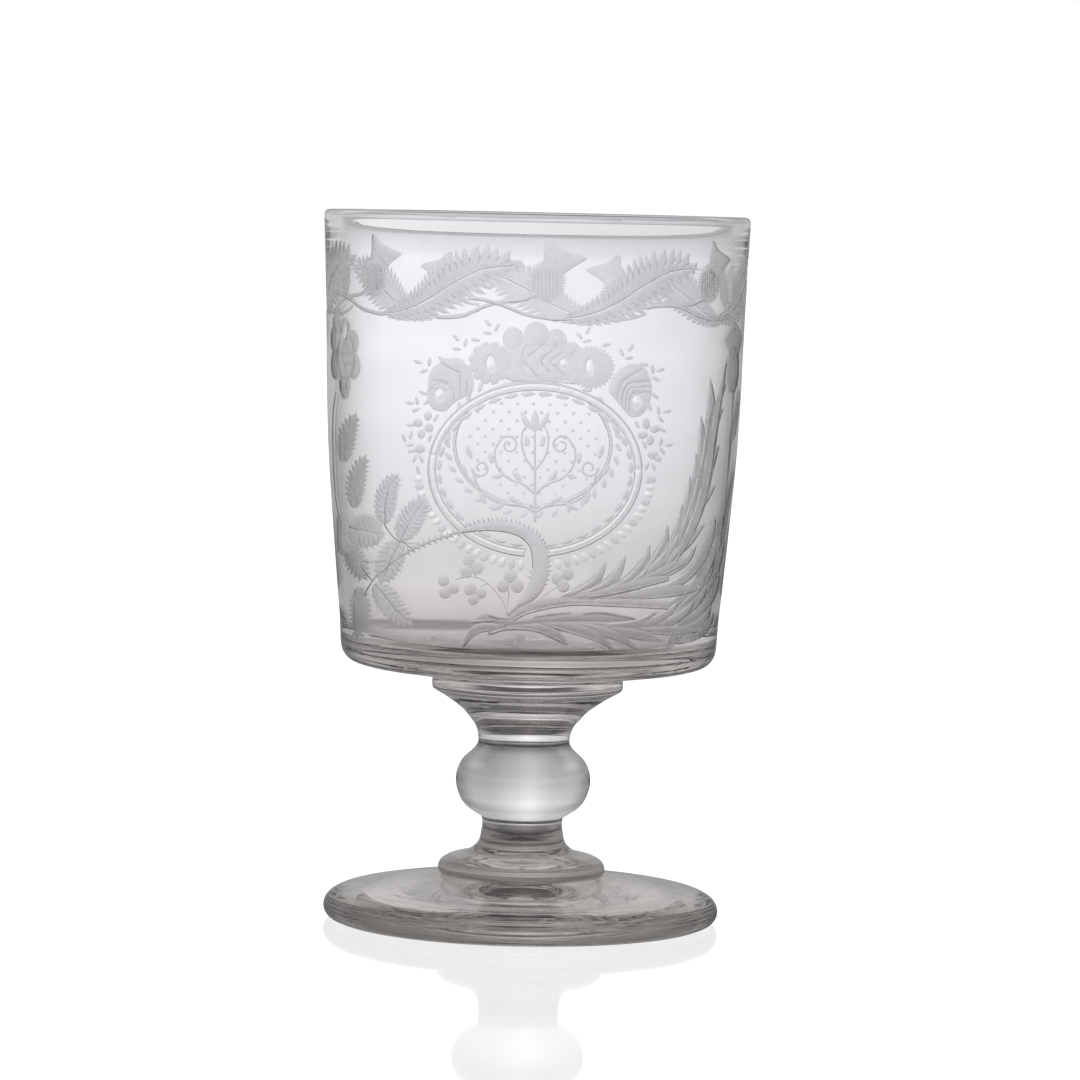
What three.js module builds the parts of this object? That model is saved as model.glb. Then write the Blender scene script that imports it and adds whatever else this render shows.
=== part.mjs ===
// Rummer: engraved drinking glass with a bucket bowl, a collar, a flared neck,
// a ball knop, a lower neck, a stepped collar and a broad round foot.
// Millimetres, +Z up, the foot's resting ring on z = 0, axis on x = y = 0.
import * as THREE from 'three';

// ---- driving dimensions (mm) ----
const SEGMENTS = 48;            // facets round every turned piece

const HEIGHT = 150.0;           // overall height
const RIM_RADIUS = 44.92;       // widest part of the lip
const LIP_THICKNESS = 3.45;     // wall just under the rounded rim
const WALL_THICKNESS = 1.6;     // wall at mid height
const FLOOR_TOP = 58.3;         // inside floor of the bowl, on the axis
const BOWL_SEAT_Z = 52.2;       // bowl's underside pad on the upper collar
const BOWL_SEAT_R = 19.2;
const BOWL_OFF_AXIS = 0.52;     // the bowl was set a little to one side of the stem
const COLLAR_R = 20.3;          // upper collar
const COLLAR_WIDEST_Z = 50.2;
const COLLAR_BASE_Z = 48.7;     // upper collar on the flared neck
const COLLAR_BASE_R = 19.2;
const NECK_BASE_Z = 37.7;       // flared neck on the knop
const NECK_BASE_R = 9.75;
const KNOP_R = 14.3;            // ball knop
const KNOP_BASE_Z = 22.0;       // knop on the lower neck
const KNOP_BASE_R = 8.75;
const WAIST_BASE_Z = 15.4;      // lower neck on the stepped collar
const WAIST_BASE_R = 10.3;
const STEP_R = 17.7;            // stepped collar
const STEP_BASE_Z = 9.8;        // stepped collar on the foot
const STEP_BASE_R = 17.4;
const FOOT_R = 41.95;           // foot
const REST_OUTER_R = 39.7;      // flat resting ring under the foot
const REST_INNER_R = 33.0;
const PONTIL_R = 9.5;           // ground pontil dish under the foot
const PONTIL_TOP = 3.9;

// ---- profiles: [radius, height] from the axis round to the axis ----
// Each runs bottom to top on the outside, so the turned face looks outward.
const bowlProfile = [
  [0, BOWL_SEAT_Z], [BOWL_SEAT_R, BOWL_SEAT_Z],
  [25, 52.85], [31.4, 53.7], [35.6, 54.4], [37.95, 55.25], [39.3, 56.75],
  [39.8, 58.6], [39.95, 60.8], [40.2, 65], [40.7, 70], [41.6, 80],
  [42.45, 90], [43.2, 100], [43.67, 110], [43.95, 120], [44.25, 130],
  [44.6, 140], [44.82, 145], [RIM_RADIUS, 147.6], [44.92, 148.9],
  [44.82, 149.42], [44.5, 149.82], [44.0, HEIGHT],
  // over the lip and down the inside
  [42.2, HEIGHT], [41.82, 149.86], [41.58, 149.55], [41.48, 149.1],
  [RIM_RADIUS - LIP_THICKNESS, 148.5], [41.58, 147], [41.71, 145],
  [41.87, 142], [42.05, 138], [42.2, 134], [42.31, 130], [42.38, 125], [42.29, 118], [42.05, 110],
  [43.2 - WALL_THICKNESS, 100], [40.83, 90], [39.9, 80], [38.8, 70],
  [38.3, 65.2], [37.9, 62.7], [37.15, 60.8], [35.9, 59.65], [33.6, 59.0], [28, 58.7],
  [16, 58.45], [0, FLOOR_TOP],
];

const upperCollarProfile = [
  [0, COLLAR_BASE_Z], [COLLAR_BASE_R, COLLAR_BASE_Z], [20.05, 49.3],
  [COLLAR_R, COLLAR_WIDEST_Z], [20.25, 51.05], [19.9, 51.85],
  [BOWL_SEAT_R, BOWL_SEAT_Z], [0, BOWL_SEAT_Z],
];

const upperNeckProfile = [
  [0, NECK_BASE_Z], [NECK_BASE_R, NECK_BASE_Z], [9.7, 38.5], [9.85, 39.65],
  [10.4, 41.25], [11.75, 43.05], [13.4, 44.85], [15.6, 46.5], [17.6, 47.8],
  [COLLAR_BASE_R, COLLAR_BASE_Z], [0, COLLAR_BASE_Z],
];

const ballKnopProfile = [
  [0, KNOP_BASE_Z], [KNOP_BASE_R, KNOP_BASE_Z], [9.9, 22.75], [11.8, 24.0],
  [13.05, 25.5], [13.8, 27.15], [14.2, 28.6], [KNOP_R, 30.05],
  [14.06, 31.7], [13.5, 33.2], [12.8, 34.3], [11.88, 35.2], [10.88, 36.1],
  [10.15, 36.95], [NECK_BASE_R, NECK_BASE_Z], [0, NECK_BASE_Z],
];

const lowerNeckProfile = [
  [0, WAIST_BASE_Z], [WAIST_BASE_R, WAIST_BASE_Z], [9.5, 16.15],
  [8.95, 17.3], [8.7, 18.7], [8.5, 20.0], [8.5, 21.2],
  [KNOP_BASE_R, KNOP_BASE_Z], [0, KNOP_BASE_Z],
];

const lowerCollarProfile = [
  [0, STEP_BASE_Z], [STEP_BASE_R, STEP_BASE_Z], [STEP_R, 10.5],
  [STEP_R, 11.4], [17.15, 12.5], [15.6, 13.45], [13.3, 14.05], [11.3, 14.65],
  [WAIST_BASE_R, WAIST_BASE_Z], [0, WAIST_BASE_Z],
];

const footProfile = [
  // pontil dish and hollow underside, out to the resting ring
  [0, PONTIL_TOP], [5, 3.6], [PONTIL_R, 2.6], [20, 1.65], [30, 0.5],
  [REST_INNER_R, 0], [REST_OUTER_R, 0],
  // rounded edge and domed top
  [41.05, 0.62], [41.75, 1.55], [FOOT_R, 2.8], [41.6, 4.0], [40.6, 5.1],
  [38.9, 5.95], [36.5, 6.5], [33, 7.0], [28, 7.75], [23, 8.55], [19.5, 9.25],
  [STEP_BASE_R, STEP_BASE_Z], [0, STEP_BASE_Z],
];

// LatheGeometry turns about Y; rotating by a quarter turn puts the axis on +Z.
function turned(profile) {
  const points = profile.map(([r, z]) => new THREE.Vector2(r, z));
  const geometry = new THREE.LatheGeometry(points, SEGMENTS);
  geometry.rotateX(Math.PI / 2);
  // the flared neck and the collar carry the bowl's offset smoothly
  const place = geometry.attributes.position;
  for (let i = 0; i < place.count; i++) {
    const t = Math.min(1, Math.max(0, (place.getZ(i) - NECK_BASE_Z) / (COLLAR_WIDEST_Z - NECK_BASE_Z)));
    place.setX(i, place.getX(i) + BOWL_OFF_AXIS * t * t * (3 - 2 * t));
  }
  return geometry;
}

function glass(color, roughness) {
  return new THREE.MeshStandardMaterial({ color, roughness, metalness: 0 });
}

const rummer = new THREE.Group();
rummer.name = 'rummer';

function add(name, profile, color, roughness) {
  const mesh = new THREE.Mesh(turned(profile), glass(color, roughness));
  mesh.name = name;
  rummer.add(mesh);
}

add('foot', footProfile, 0xcdd0d3, 0.05);
add('lower_collar', lowerCollarProfile, 0xc6c9cc, 0.05);
add('lower_neck', lowerNeckProfile, 0xc2c5c8, 0.04);
add('ball_knop', ballKnopProfile, 0xd0d3d6, 0.04);
add('upper_neck', upperNeckProfile, 0xc6c9cc, 0.04);
add('upper_collar', upperCollarProfile, 0xc8cbce, 0.05);
add('bowl', bowlProfile, 0xdfe1e6, 0.06);

export default rummer;
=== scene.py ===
import math

import bpy
import numpy as np
from mathutils import Matrix, Vector
from mathutils.geometry import delaunay_2d_cdt


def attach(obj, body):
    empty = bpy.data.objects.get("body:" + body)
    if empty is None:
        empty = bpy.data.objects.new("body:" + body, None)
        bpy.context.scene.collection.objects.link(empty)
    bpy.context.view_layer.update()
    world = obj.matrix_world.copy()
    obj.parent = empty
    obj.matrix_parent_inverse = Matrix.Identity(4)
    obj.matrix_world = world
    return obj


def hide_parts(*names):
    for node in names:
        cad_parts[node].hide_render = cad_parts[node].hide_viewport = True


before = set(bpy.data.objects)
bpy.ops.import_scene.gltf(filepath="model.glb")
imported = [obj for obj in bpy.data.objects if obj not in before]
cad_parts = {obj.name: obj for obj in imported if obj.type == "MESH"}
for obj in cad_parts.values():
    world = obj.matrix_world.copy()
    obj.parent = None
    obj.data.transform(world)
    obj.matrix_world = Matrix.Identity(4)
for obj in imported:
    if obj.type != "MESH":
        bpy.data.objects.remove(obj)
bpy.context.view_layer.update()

MM = 0.001

# ------------------------------------------------------------------ profiles
# [radius, height] in millimetres, the numbers of the CAD model
BOWL_OUT = [(19.2, 52.2), (25, 52.85), (31.4, 53.7), (35.6, 54.4), (37.95, 55.25), (39.3, 56.75),
            (39.8, 58.6), (39.95, 60.8), (40.2, 65), (40.7, 70), (41.15, 75), (41.6, 80),
            (42.02, 85), (42.45, 90), (42.85, 95), (43.2, 100), (43.45, 105), (43.67, 110),
            (43.84, 115), (43.95, 120), (44.1, 125), (44.25, 130), (44.43, 135), (44.6, 140),
            (44.82, 145), (44.92, 147.6), (44.92, 148.9), (44.82, 149.42), (44.5, 149.82), (44.0, 150), (43.2, 150)]
BOWL_IN = [(43.2, 150), (42.2, 150), (41.82, 149.86), (41.58, 149.55), (41.48, 149.1), (41.47, 148.5), (41.58, 147), (41.71, 145), (41.87, 142),
           (42.05, 138), (42.2, 134), (42.31, 130), (42.38, 125), (42.29, 118), (42.05, 110),
           (41.6, 100), (40.83, 90), (39.9, 80), (38.8, 70), (38.3, 65.2), (37.9, 62.7),
           (37.15, 60.8), (35.9, 59.65), (33.6, 59.0), (28, 58.7)]
BOWL_FLOOR = [(28, 58.7), (16, 58.45), (0, 58.3)]
UPPER_COLLAR = [(19.2, 48.7), (20.05, 49.3), (20.3, 50.2), (20.25, 51.05), (19.9, 51.85), (19.2, 52.2)]
UPPER_NECK = [(9.75, 37.7), (9.7, 38.5), (9.85, 39.65), (10.4, 41.25), (11.75, 43.05), (13.4, 44.85),
              (15.6, 46.5), (17.6, 47.8), (19.2, 48.7)]
BALL_KNOP = [(8.75, 22), (9.9, 22.75), (11.8, 24), (13.05, 25.5), (13.8, 27.15), (14.2, 28.6),
             (14.3, 30.05), (14.06, 31.7), (13.5, 33.2), (12.8, 34.3), (11.88, 35.2), (10.88, 36.1),
             (10.15, 36.95), (9.75, 37.7)]
LOWER_NECK = [(10.3, 15.4), (9.5, 16.15), (8.95, 17.3), (8.7, 18.7), (8.5, 20), (8.5, 21.2), (8.75, 22)]
LOWER_COLLAR = [(17.4, 9.8), (17.7, 10.5), (17.7, 11.4), (17.15, 12.5), (15.6, 13.45), (13.3, 14.05),
                (11.3, 14.65), (10.3, 15.4)]
FOOT_DISH = [(0, 3.9), (5, 3.6), (9.5, 2.6)]
FOOT_HOLLOW = [(9.5, 2.6), (20, 1.65), (30, 0.5), (33, 0)]
FOOT_REST = [(33, 0), (39.7, 0)]
FOOT_TOP = [(39.7, 0), (41.05, 0.62), (41.75, 1.55), (41.95, 2.8), (41.6, 4), (40.6, 5.1),
            (38.9, 5.95), (36.5, 6.5), (33, 7), (28, 7.75), (23, 8.55), (19.5, 9.25), (17.4, 9.8)]

OFF_AXIS = 0.52                        # mm: the bowl was set a little to one side of the stem


def lean(z):
    """The sideways shift at a height; the flared neck and the collar carry it smoothly."""
    t = np.clip((z - 37.7) / 12.5, 0, 1)
    return OFF_AXIS * t * t * (3 - 2 * t)


# ------------------------------------------------------------------ camera
CAM_D, CAM_Z = 1060.0, 155.0           # mm in front of the axis, above the floor
PITCH = math.radians(3.997)
ROLL = math.radians(1.25)
FOCAL_PX = 5014.0                      # for a 1080 px frame
YAW = math.atan(11.8 / FOCAL_PX)


def camera_axes():
    fwd = np.array([math.sin(YAW) * math.cos(PITCH), math.cos(YAW) * math.cos(PITCH), -math.sin(PITCH)])
    right = np.array([math.cos(YAW), -math.sin(YAW), 0.0])
    up = np.cross(right, fwd)
    c, s = math.cos(ROLL), math.sin(ROLL)
    return c * right + s * up, -s * right + c * up, fwd


CAM_R, CAM_U, CAM_F = camera_axes()


def make_camera():
    data = bpy.data.cameras.new("camera")
    data.sensor_width = 36.0
    data.lens = FOCAL_PX / 1080.0 * 36.0
    data.clip_start, data.clip_end = 0.05, 60.0
    obj = bpy.data.objects.new("camera", data)
    bpy.context.scene.collection.objects.link(obj)
    rot = Matrix((CAM_R, CAM_U, -CAM_F)).transposed()
    obj.matrix_world = Matrix.Translation((0, -CAM_D * MM, CAM_Z * MM)) @ rot.to_4x4()
    bpy.context.scene.camera = obj


# ------------------------------------------------------------------ turned pieces
def smooth(pts, step=0.35):
    """Centripetal Catmull-Rom through the points, sampled about every step mm."""
    p = np.array(pts, float)
    if len(p) < 3:
        n = max(2, int(np.linalg.norm(p[-1] - p[0]) / step) + 1)
        return p[0] + (p[-1] - p[0]) * np.linspace(0, 1, n)[:, None]
    a = np.vstack([2 * p[0] - p[1], p, 2 * p[-1] - p[-2]])
    out = []
    for i in range(1, len(a) - 2):
        p0, p1, p2, p3 = a[i - 1:i + 3]
        t0 = 0.0
        t1 = t0 + max(np.linalg.norm(p1 - p0), 1e-6) ** 0.5
        t2 = t1 + max(np.linalg.norm(p2 - p1), 1e-6) ** 0.5
        t3 = t2 + max(np.linalg.norm(p3 - p2), 1e-6) ** 0.5
        n = max(2, int(math.ceil(np.linalg.norm(p2 - p1) / step)))
        t = np.linspace(t1, t2, n, endpoint=False)[:, None]
        a1 = (t1 - t) / (t1 - t0) * p0 + (t - t0) / (t1 - t0) * p1
        a2 = (t2 - t) / (t2 - t1) * p1 + (t - t1) / (t2 - t1) * p2
        a3 = (t3 - t) / (t3 - t2) * p2 + (t - t2) / (t3 - t2) * p3
        b1 = (t2 - t) / (t2 - t0) * a1 + (t - t0) / (t2 - t0) * a2
        b2 = (t3 - t) / (t3 - t1) * a2 + (t - t1) / (t3 - t1) * a3
        out.append((t2 - t) / (t2 - t1) * b1 + (t - t1) / (t2 - t1) * b2)
    out.append(p[-1:])
    return np.vstack(out)


def ripple(amount, seed, lengths):
    """Tooling marks: fine rings left by turning the soft glass against a tool, broken up round the piece."""
    rng = np.random.default_rng(seed)
    waves = [(length * rng.uniform(0.85, 1.15), rng.uniform(0, 6.28), rng.integers(1, 3), rng.uniform(0, 6.28),
              rng.uniform(0.2, 0.7), rng.integers(1, 4), rng.uniform(0, 6.28)) for length in lengths]

    def f(s, th):
        v = 0.0
        for (lam, ph, k, ps, warp, m, ch) in waves:
            v = v + np.sin(2 * np.pi * s / lam + ph + warp * np.sin(k * th + ps)) * (0.55 + 0.45 * np.sin(m * th + ch)) * lam
        return amount * v / sum(w[0] for w in waves)
    return f


class Shell:
    """Collects welded faces with one material and one set of corner normals each."""

    def __init__(self):
        self.v, self.f, self.m, self.n = [], [], [], []
        self.count = 0

    def add(self, verts, faces, mat, normals):
        """verts (n,3) in mm, faces (m,3|4) indices, normals (m, 3|4, 3)."""
        self.v.append(np.asarray(verts, float))
        self.f.append((np.asarray(faces) + self.count, mat if np.ndim(mat) else np.full(len(faces), mat), normals))
        self.count += len(verts)

    def build(self, name, materials):
        v = np.vstack(self.v)
        v[:, 0] += lean(v[:, 2])
        v = np.round(v, 4) + 0.0
        uniq, inv = np.unique(v, axis=0, return_inverse=True)
        inv = inv.reshape(-1)
        faces, mats, norms = [], [], []
        for f, m, n in self.f:
            f = inv[f]
            for poly, mat, nn in zip(f, m, n):
                keep = [i for i in range(len(poly)) if poly[i] != poly[i - 1]]
                if len(keep) < 3 or len({int(poly[i]) for i in keep}) < len(keep):
                    continue
                faces.append([int(poly[i]) for i in keep])
                mats.append(int(mat))
                norms.extend(nn[i] for i in keep)
        me = bpy.data.meshes.new(name)
        me.from_pydata((uniq * MM).tolist(), [], faces)
        me.polygons.foreach_set("material_index", np.array(mats, np.int32))
        me.polygons.foreach_set("use_smooth", np.ones(len(faces), bool))
        for mat in materials:
            me.materials.append(mat)
        me.update()
        norms = np.array(norms)
        norms /= np.maximum(np.linalg.norm(norms, axis=1, keepdims=True), 1e-9)
        me.normals_split_custom_set(norms.tolist())
        obj = bpy.data.objects.new(name, me)
        bpy.context.scene.collection.objects.link(obj)
        return obj


def turn(shell, prof, seg, mat, marks=None):
    """Adds one smooth turned band; the profile runs so that outside is on its right."""
    prof = np.asarray(prof, float)
    th = -math.pi + 2 * math.pi * np.arange(seg) / seg
    s = np.concatenate([[0], np.cumsum(np.linalg.norm(np.diff(prof, axis=0), axis=1))])
    tan = np.gradient(prof, s, axis=0)
    nr, nz = tan[:, 1], -tan[:, 0]
    ln = np.hypot(nr, nz)
    nr, nz = nr / ln, nz / ln
    sg, tg = np.meshgrid(s, th, indexing="ij")
    d = np.zeros_like(sg)
    if marks is not None:
        fade = np.minimum(1, np.minimum(s, s[-1] - s) / 0.8)
        d = marks(sg, tg) * fade[:, None]
    r = prof[:, :1] + d * nr[:, None]
    z = prof[:, 1:] + d * nz[:, None]
    p = np.stack([r * np.sin(tg), -r * np.cos(tg), z], -1)
    base = np.stack([nr[:, None] * np.sin(tg), -nr[:, None] * np.cos(tg), np.repeat(nz[:, None], seg, 1)], -1)
    n = base
    if marks is not None:
        ds = np.gradient(p, axis=0)
        dt = np.roll(p, -1, 1) - np.roll(p, 1, 1)
        n = np.cross(dt, ds)
        n *= np.sign(np.sum(n * base, -1, keepdims=True))
        ln = np.linalg.norm(n, axis=-1, keepdims=True)
        n = np.where(ln > 1e-9, n / np.maximum(ln, 1e-9), base)
    k = np.arange(seg)
    k2 = (k + 1) % seg
    faces, norms = [], []
    rows = len(prof)
    for i in range(rows - 1):
        faces.append(np.stack([i * seg + k, i * seg + k2, (i + 1) * seg + k2, (i + 1) * seg + k], -1))
        norms.append(np.stack([n[i, k], n[i, k2], n[i + 1, k2], n[i + 1, k]], 1))
    shell.add(p.reshape(-1, 3), np.vstack(faces), mat, np.vstack(norms))


# ------------------------------------------------------------------ materials
def new_material(name):
    m = bpy.data.materials.new(name)
    m.use_nodes = True
    nt = m.node_tree
    nt.nodes.clear()
    out = nt.nodes.new("ShaderNodeOutputMaterial")
    bsdf = nt.nodes.new("ShaderNodeBsdfPrincipled")
    nt.links.new(bsdf.outputs["BSDF"], out.inputs["Surface"])
    return m, nt, bsdf


def node(nt, kind, **kw):
    n = nt.nodes.new(kind)
    for k, v in kw.items():
        setattr(n, k, v)
    return n


def noise(nt, scale, detail=3.0, rough=0.55, stretch=None):
    tc = node(nt, "ShaderNodeTexCoord")
    mp = node(nt, "ShaderNodeMapping")
    if stretch:
        mp.inputs["Scale"].default_value = stretch
    nz = node(nt, "ShaderNodeTexNoise")
    nz.inputs["Scale"].default_value = scale
    nz.inputs["Detail"].default_value = detail
    nz.inputs["Roughness"].default_value = rough
    nt.links.new(tc.outputs["Object"], mp.inputs["Vector"])
    nt.links.new(mp.outputs["Vector"], nz.inputs["Vector"])
    return nz.outputs["Fac"]


def ramp(nt, fac, stops):
    r = node(nt, "ShaderNodeValToRGB")
    e = r.color_ramp.elements
    while len(e) < len(stops):
        e.new(0.5)
    for el, (pos, col) in zip(e, stops):
        el.position = pos
        el.color = (*col, 1.0)
    nt.links.new(fac, r.inputs["Fac"])
    return r.outputs["Color"]


def span(nt, fac, lo, hi, a=0.25, b=0.75):
    r = node(nt, "ShaderNodeMapRange")
    r.inputs["From Min"].default_value = a
    r.inputs["From Max"].default_value = b
    r.inputs["To Min"].default_value = lo
    r.inputs["To Max"].default_value = hi
    nt.links.new(fac, r.inputs["Value"])
    return r.outputs["Result"]


def clear_glass(name, stops, reach, along="Z", edge=((0.0, 1.0), (1.0, 0.5)), rough=(0.0, 0.0035), fade=None):
    """Old blown glass: a grey colour that deepens where the metal is thick and where it is looked along, faint cords
    in it, and a softly uneven skin. The grey is only partly the glass's own: stops also paint shade and light as dark
    lines, grey bands and bright bands, and edge paints shade towards grazing. stops is the colour along height (Z) or
    out from the axis (R), over reach in metres; edge is how much light is left from face-on to grazing, faded in over
    the heights of fade."""
    m, nt, b = new_material(name)
    b.inputs["Transmission Weight"].default_value = 1.0
    b.inputs["IOR"].default_value = 1.53
    tc = node(nt, "ShaderNodeTexCoord")
    sp = node(nt, "ShaderNodeSeparateXYZ")
    nt.links.new(tc.outputs["Object"], sp.inputs[0])
    if along == "Z":
        where = sp.outputs["Z"]
    else:
        flat = node(nt, "ShaderNodeVectorMath", operation="MULTIPLY")
        flat.inputs[1].default_value = (1, 1, 0)
        nt.links.new(tc.outputs["Object"], flat.inputs[0])
        ln = node(nt, "ShaderNodeVectorMath", operation="LENGTH")
        nt.links.new(flat.outputs[0], ln.inputs[0])
        where = ln.outputs["Value"]
    # painted shade and light: the colour ramp by height or radius holds dark lines, grey bands and bright bands besides
    # the glass's grey and its darkening where thick
    cast_and_painted_shade = ramp(nt, span(nt, where, 0.0, 1.0, *reach), stops)
    cords = ramp(nt, noise(nt, 38.0, 2.0, stretch=(1, 1, 2)), [(0.3, (0.97, 0.97, 0.97)), (0.7, (1.0, 1.0, 1.0))])
    # painted shade: darker towards grazing, partly standing for the longer path through the glass
    lw = node(nt, "ShaderNodeLayerWeight")
    lw.inputs["Blend"].default_value = 0.5
    edge_absorption_and_shade = ramp(nt, lw.outputs["Facing"], [(p, (v, v, v)) for p, v in edge])
    if fade:
        soft = node(nt, "ShaderNodeMix", data_type="RGBA", blend_type="MIX")
        nt.links.new(span(nt, sp.outputs["Z"], 0.0, 1.0, *fade), soft.inputs["Factor"])
        soft.inputs["A"].default_value = (1, 1, 1, 1)
        nt.links.new(edge_absorption_and_shade, soft.inputs["B"])
        edge_absorption_and_shade = soft.outputs["Result"]
    tint_and_painted_shade = cast_and_painted_shade
    for other in (cords, edge_absorption_and_shade):
        mx = node(nt, "ShaderNodeMix", data_type="RGBA", blend_type="MULTIPLY")
        mx.inputs["Factor"].default_value = 1.0
        nt.links.new(tint_and_painted_shade, mx.inputs["A"])
        nt.links.new(other, mx.inputs["B"])
        tint_and_painted_shade = mx.outputs["Result"]
    nt.links.new(tint_and_painted_shade, b.inputs["Base Color"])
    nt.links.new(span(nt, noise(nt, 90.0, 4.0, stretch=(1, 1, 2.5)), *rough, 0.66, 0.9), b.inputs["Roughness"])
    return m


def fused_face(name):
    """Where two gathers were joined hot there is no surface to see, only glass."""
    m, nt, b = new_material(name)
    b.inputs["Alpha"].default_value = 0.0
    b.inputs["Transmission Weight"].default_value = 0.0
    nt.links.new(ramp(nt, noise(nt, 40.0), [(0.3, (0.92, 0.92, 0.93)), (0.7, (0.96, 0.96, 0.97))]), b.inputs["Base Color"])
    return m



def engraved_glass(name, dark, light, rough, grain, edge):
    """Wheel-ground glass: matte, with the fine scratches and pits of the wheel, and a painted shade that makes it
    greyer where it is looked along.
    """
    m, nt, b = new_material(name)
    b.inputs["Transmission Weight"].default_value = 1.0
    b.inputs["IOR"].default_value = 1.53
    fine = noise(nt, 1500.0, 4.0, 0.65)
    lw = node(nt, "ShaderNodeLayerWeight")
    lw.inputs["Blend"].default_value = 0.5
    mx = node(nt, "ShaderNodeMix", data_type="RGBA", blend_type="MULTIPLY")
    mx.inputs["Factor"].default_value = 1.0
    nt.links.new(ramp(nt, noise(nt, 260.0, 3.0), [(0.3, dark), (0.7, light)]), mx.inputs["A"])
    # painted shade: the cut glass darker towards grazing
    nt.links.new(ramp(nt, lw.outputs["Facing"], [(p, (v, v, v)) for p, v in edge]), mx.inputs["B"])
    nt.links.new(mx.outputs["Result"], b.inputs["Base Color"])
    nt.links.new(span(nt, fine, *rough), b.inputs["Roughness"])
    bp = node(nt, "ShaderNodeBump")
    bp.inputs["Strength"].default_value = grain
    bp.inputs["Distance"].default_value = 0.00006
    nt.links.new(fine, bp.inputs["Height"])
    nt.links.new(bp.outputs["Normal"], b.inputs["Normal"])
    return m


# bowl: besides the glass's grey and some darkening where it is thick, the stops paint shade and light: a dark base band
# with dark lines, a bright band above it, a grey band under the rim; edge paints shade towards grazing, faded out near
# the rim
M_BOWL = clear_glass("bowl_glass", [(0, (0.72, 0.666, 0.634)), (0.0396, (0.58, 0.537, 0.512)), (0.0468, (0.64, 0.592, 0.563)), (0.0578, (0.54, 0.498, 0.474)), (0.0638, (0.42, 0.39, 0.375)),
                                    (0.075, (0.40, 0.376, 0.364)), (0.082, (0.66, 0.63, 0.62)), (0.0938, (0.88, 0.85, 0.845)), (0.113, (0.93, 0.907, 0.913)), (0.18, (0.945, 0.927, 0.94)),
                                    (0.33, (0.96, 0.952, 0.968)), (0.48, (0.97, 0.966, 0.984)), (0.6, (0.975, 0.972, 0.99)), (0.91, (0.975, 0.972, 0.99)), (0.937, (0.82, 0.817, 0.835)), (0.965, (0.83, 0.827, 0.845)), (1.0, (0.90, 0.897, 0.913))],
                     (0.052, 0.152), edge=[(0.0, 1.0), (0.35, 0.955), (0.6, 0.79), (0.78, 0.565), (1.0, 0.33)], fade=(0.147, 0.136))
# stem and foot: the stops paint shade and light as bands by height (by radius on the foot): dark and near-black lines
# on the collars and necks, a knop darker towards its top, a darker rim on the foot; the edge ramps paint shade towards
# grazing
M_COLLAR = clear_glass("collar_glass", [(0.0, (0.42, 0.40, 0.39)), (0.06, (0.55, 0.525, 0.515)), (0.12, (0.90, 0.87, 0.855)), (0.22, (0.90, 0.87, 0.855)), (0.26, (0.045, 0.044, 0.043)), (0.32, (0.045, 0.044, 0.043)), (0.36, (0.85, 0.82, 0.805)), (0.6, (1.0, 0.97, 0.955)),
                                        (0.86, (1.0, 0.97, 0.955)), (0.93, (0.55, 0.53, 0.52)), (1.0, (0.36, 0.345, 0.338))], (0.0487, 0.0522))
M_NECK = clear_glass("neck_glass", [(0.0, (0.04, 0.039, 0.039)), (0.045, (0.045, 0.044, 0.044)), (0.08, (0.93, 0.915, 0.92)), (0.26, (0.95, 0.935, 0.94)), (0.30, (0.50, 0.485, 0.485)),
                                    (0.52, (0.48, 0.465, 0.465)), (0.55, (0.97, 0.95, 0.955)), (0.585, (0.95, 0.93, 0.935)), (0.605, (0.58, 0.56, 0.56)), (0.645, (0.90, 0.875, 0.875)),
                                    (0.69, (0.82, 0.795, 0.79)), (0.73, (0.40, 0.383, 0.378)), (0.79, (0.42, 0.40, 0.395)), (0.84, (0.70, 0.67, 0.66)), (0.96, (0.72, 0.69, 0.675)), (1.0, (0.42, 0.40, 0.39))],
                     (0.0377, 0.0487))
M_KNOP = clear_glass("knop_glass", [(0.0, (1.0, 0.985, 0.99)), (0.28, (1.0, 0.985, 0.99)), (0.385, (0.82, 0.806, 0.81)), (0.44, (0.71, 0.698, 0.702)), (0.50, (0.55, 0.54, 0.545)), (0.55, (0.50, 0.49, 0.496)), (0.60, (0.48, 0.472, 0.477)), (0.65, (0.66, 0.65, 0.658)),
                                    (0.72, (0.73, 0.72, 0.73)), (0.80, (0.71, 0.70, 0.71)), (0.86, (0.60, 0.592, 0.60)), (0.92, (0.38, 0.374, 0.38)), (1.0, (0.24, 0.236, 0.24))], (0.022, 0.0377),
                     edge=[(0.0, 1.0), (0.1, 0.97), (0.3, 0.92), (0.42, 0.78), (0.52, 0.55), (0.62, 0.36), (0.8, 0.26), (1.0, 0.2)], fade=(0.0222, 0.0256))
M_WAIST = clear_glass("lower_neck_glass", [(0.0, (0.46, 0.432, 0.42)), (0.28, (0.44, 0.412, 0.40)), (0.36, (0.22, 0.206, 0.20)), (0.68, (0.18, 0.170, 0.166)), (0.74, (0.50, 0.48, 0.476)),
                                           (0.88, (0.70, 0.68, 0.68)), (0.90, (0.60, 0.58, 0.58)), (0.92, (0.07, 0.069, 0.069)), (0.985, (0.07, 0.069, 0.069)), (1.0, (0.30, 0.29, 0.285))], (0.0154, 0.022))
M_STEP = clear_glass("step_glass", [(0.0, (0.34, 0.32, 0.307)), (0.08, (0.18, 0.17, 0.163)), (0.22, (0.20, 0.188, 0.18)), (0.30, (0.52, 0.488, 0.468)), (0.6, (0.52, 0.488, 0.468)), (1.0, (0.66, 0.62, 0.597))], (0.0098, 0.0154))
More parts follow.
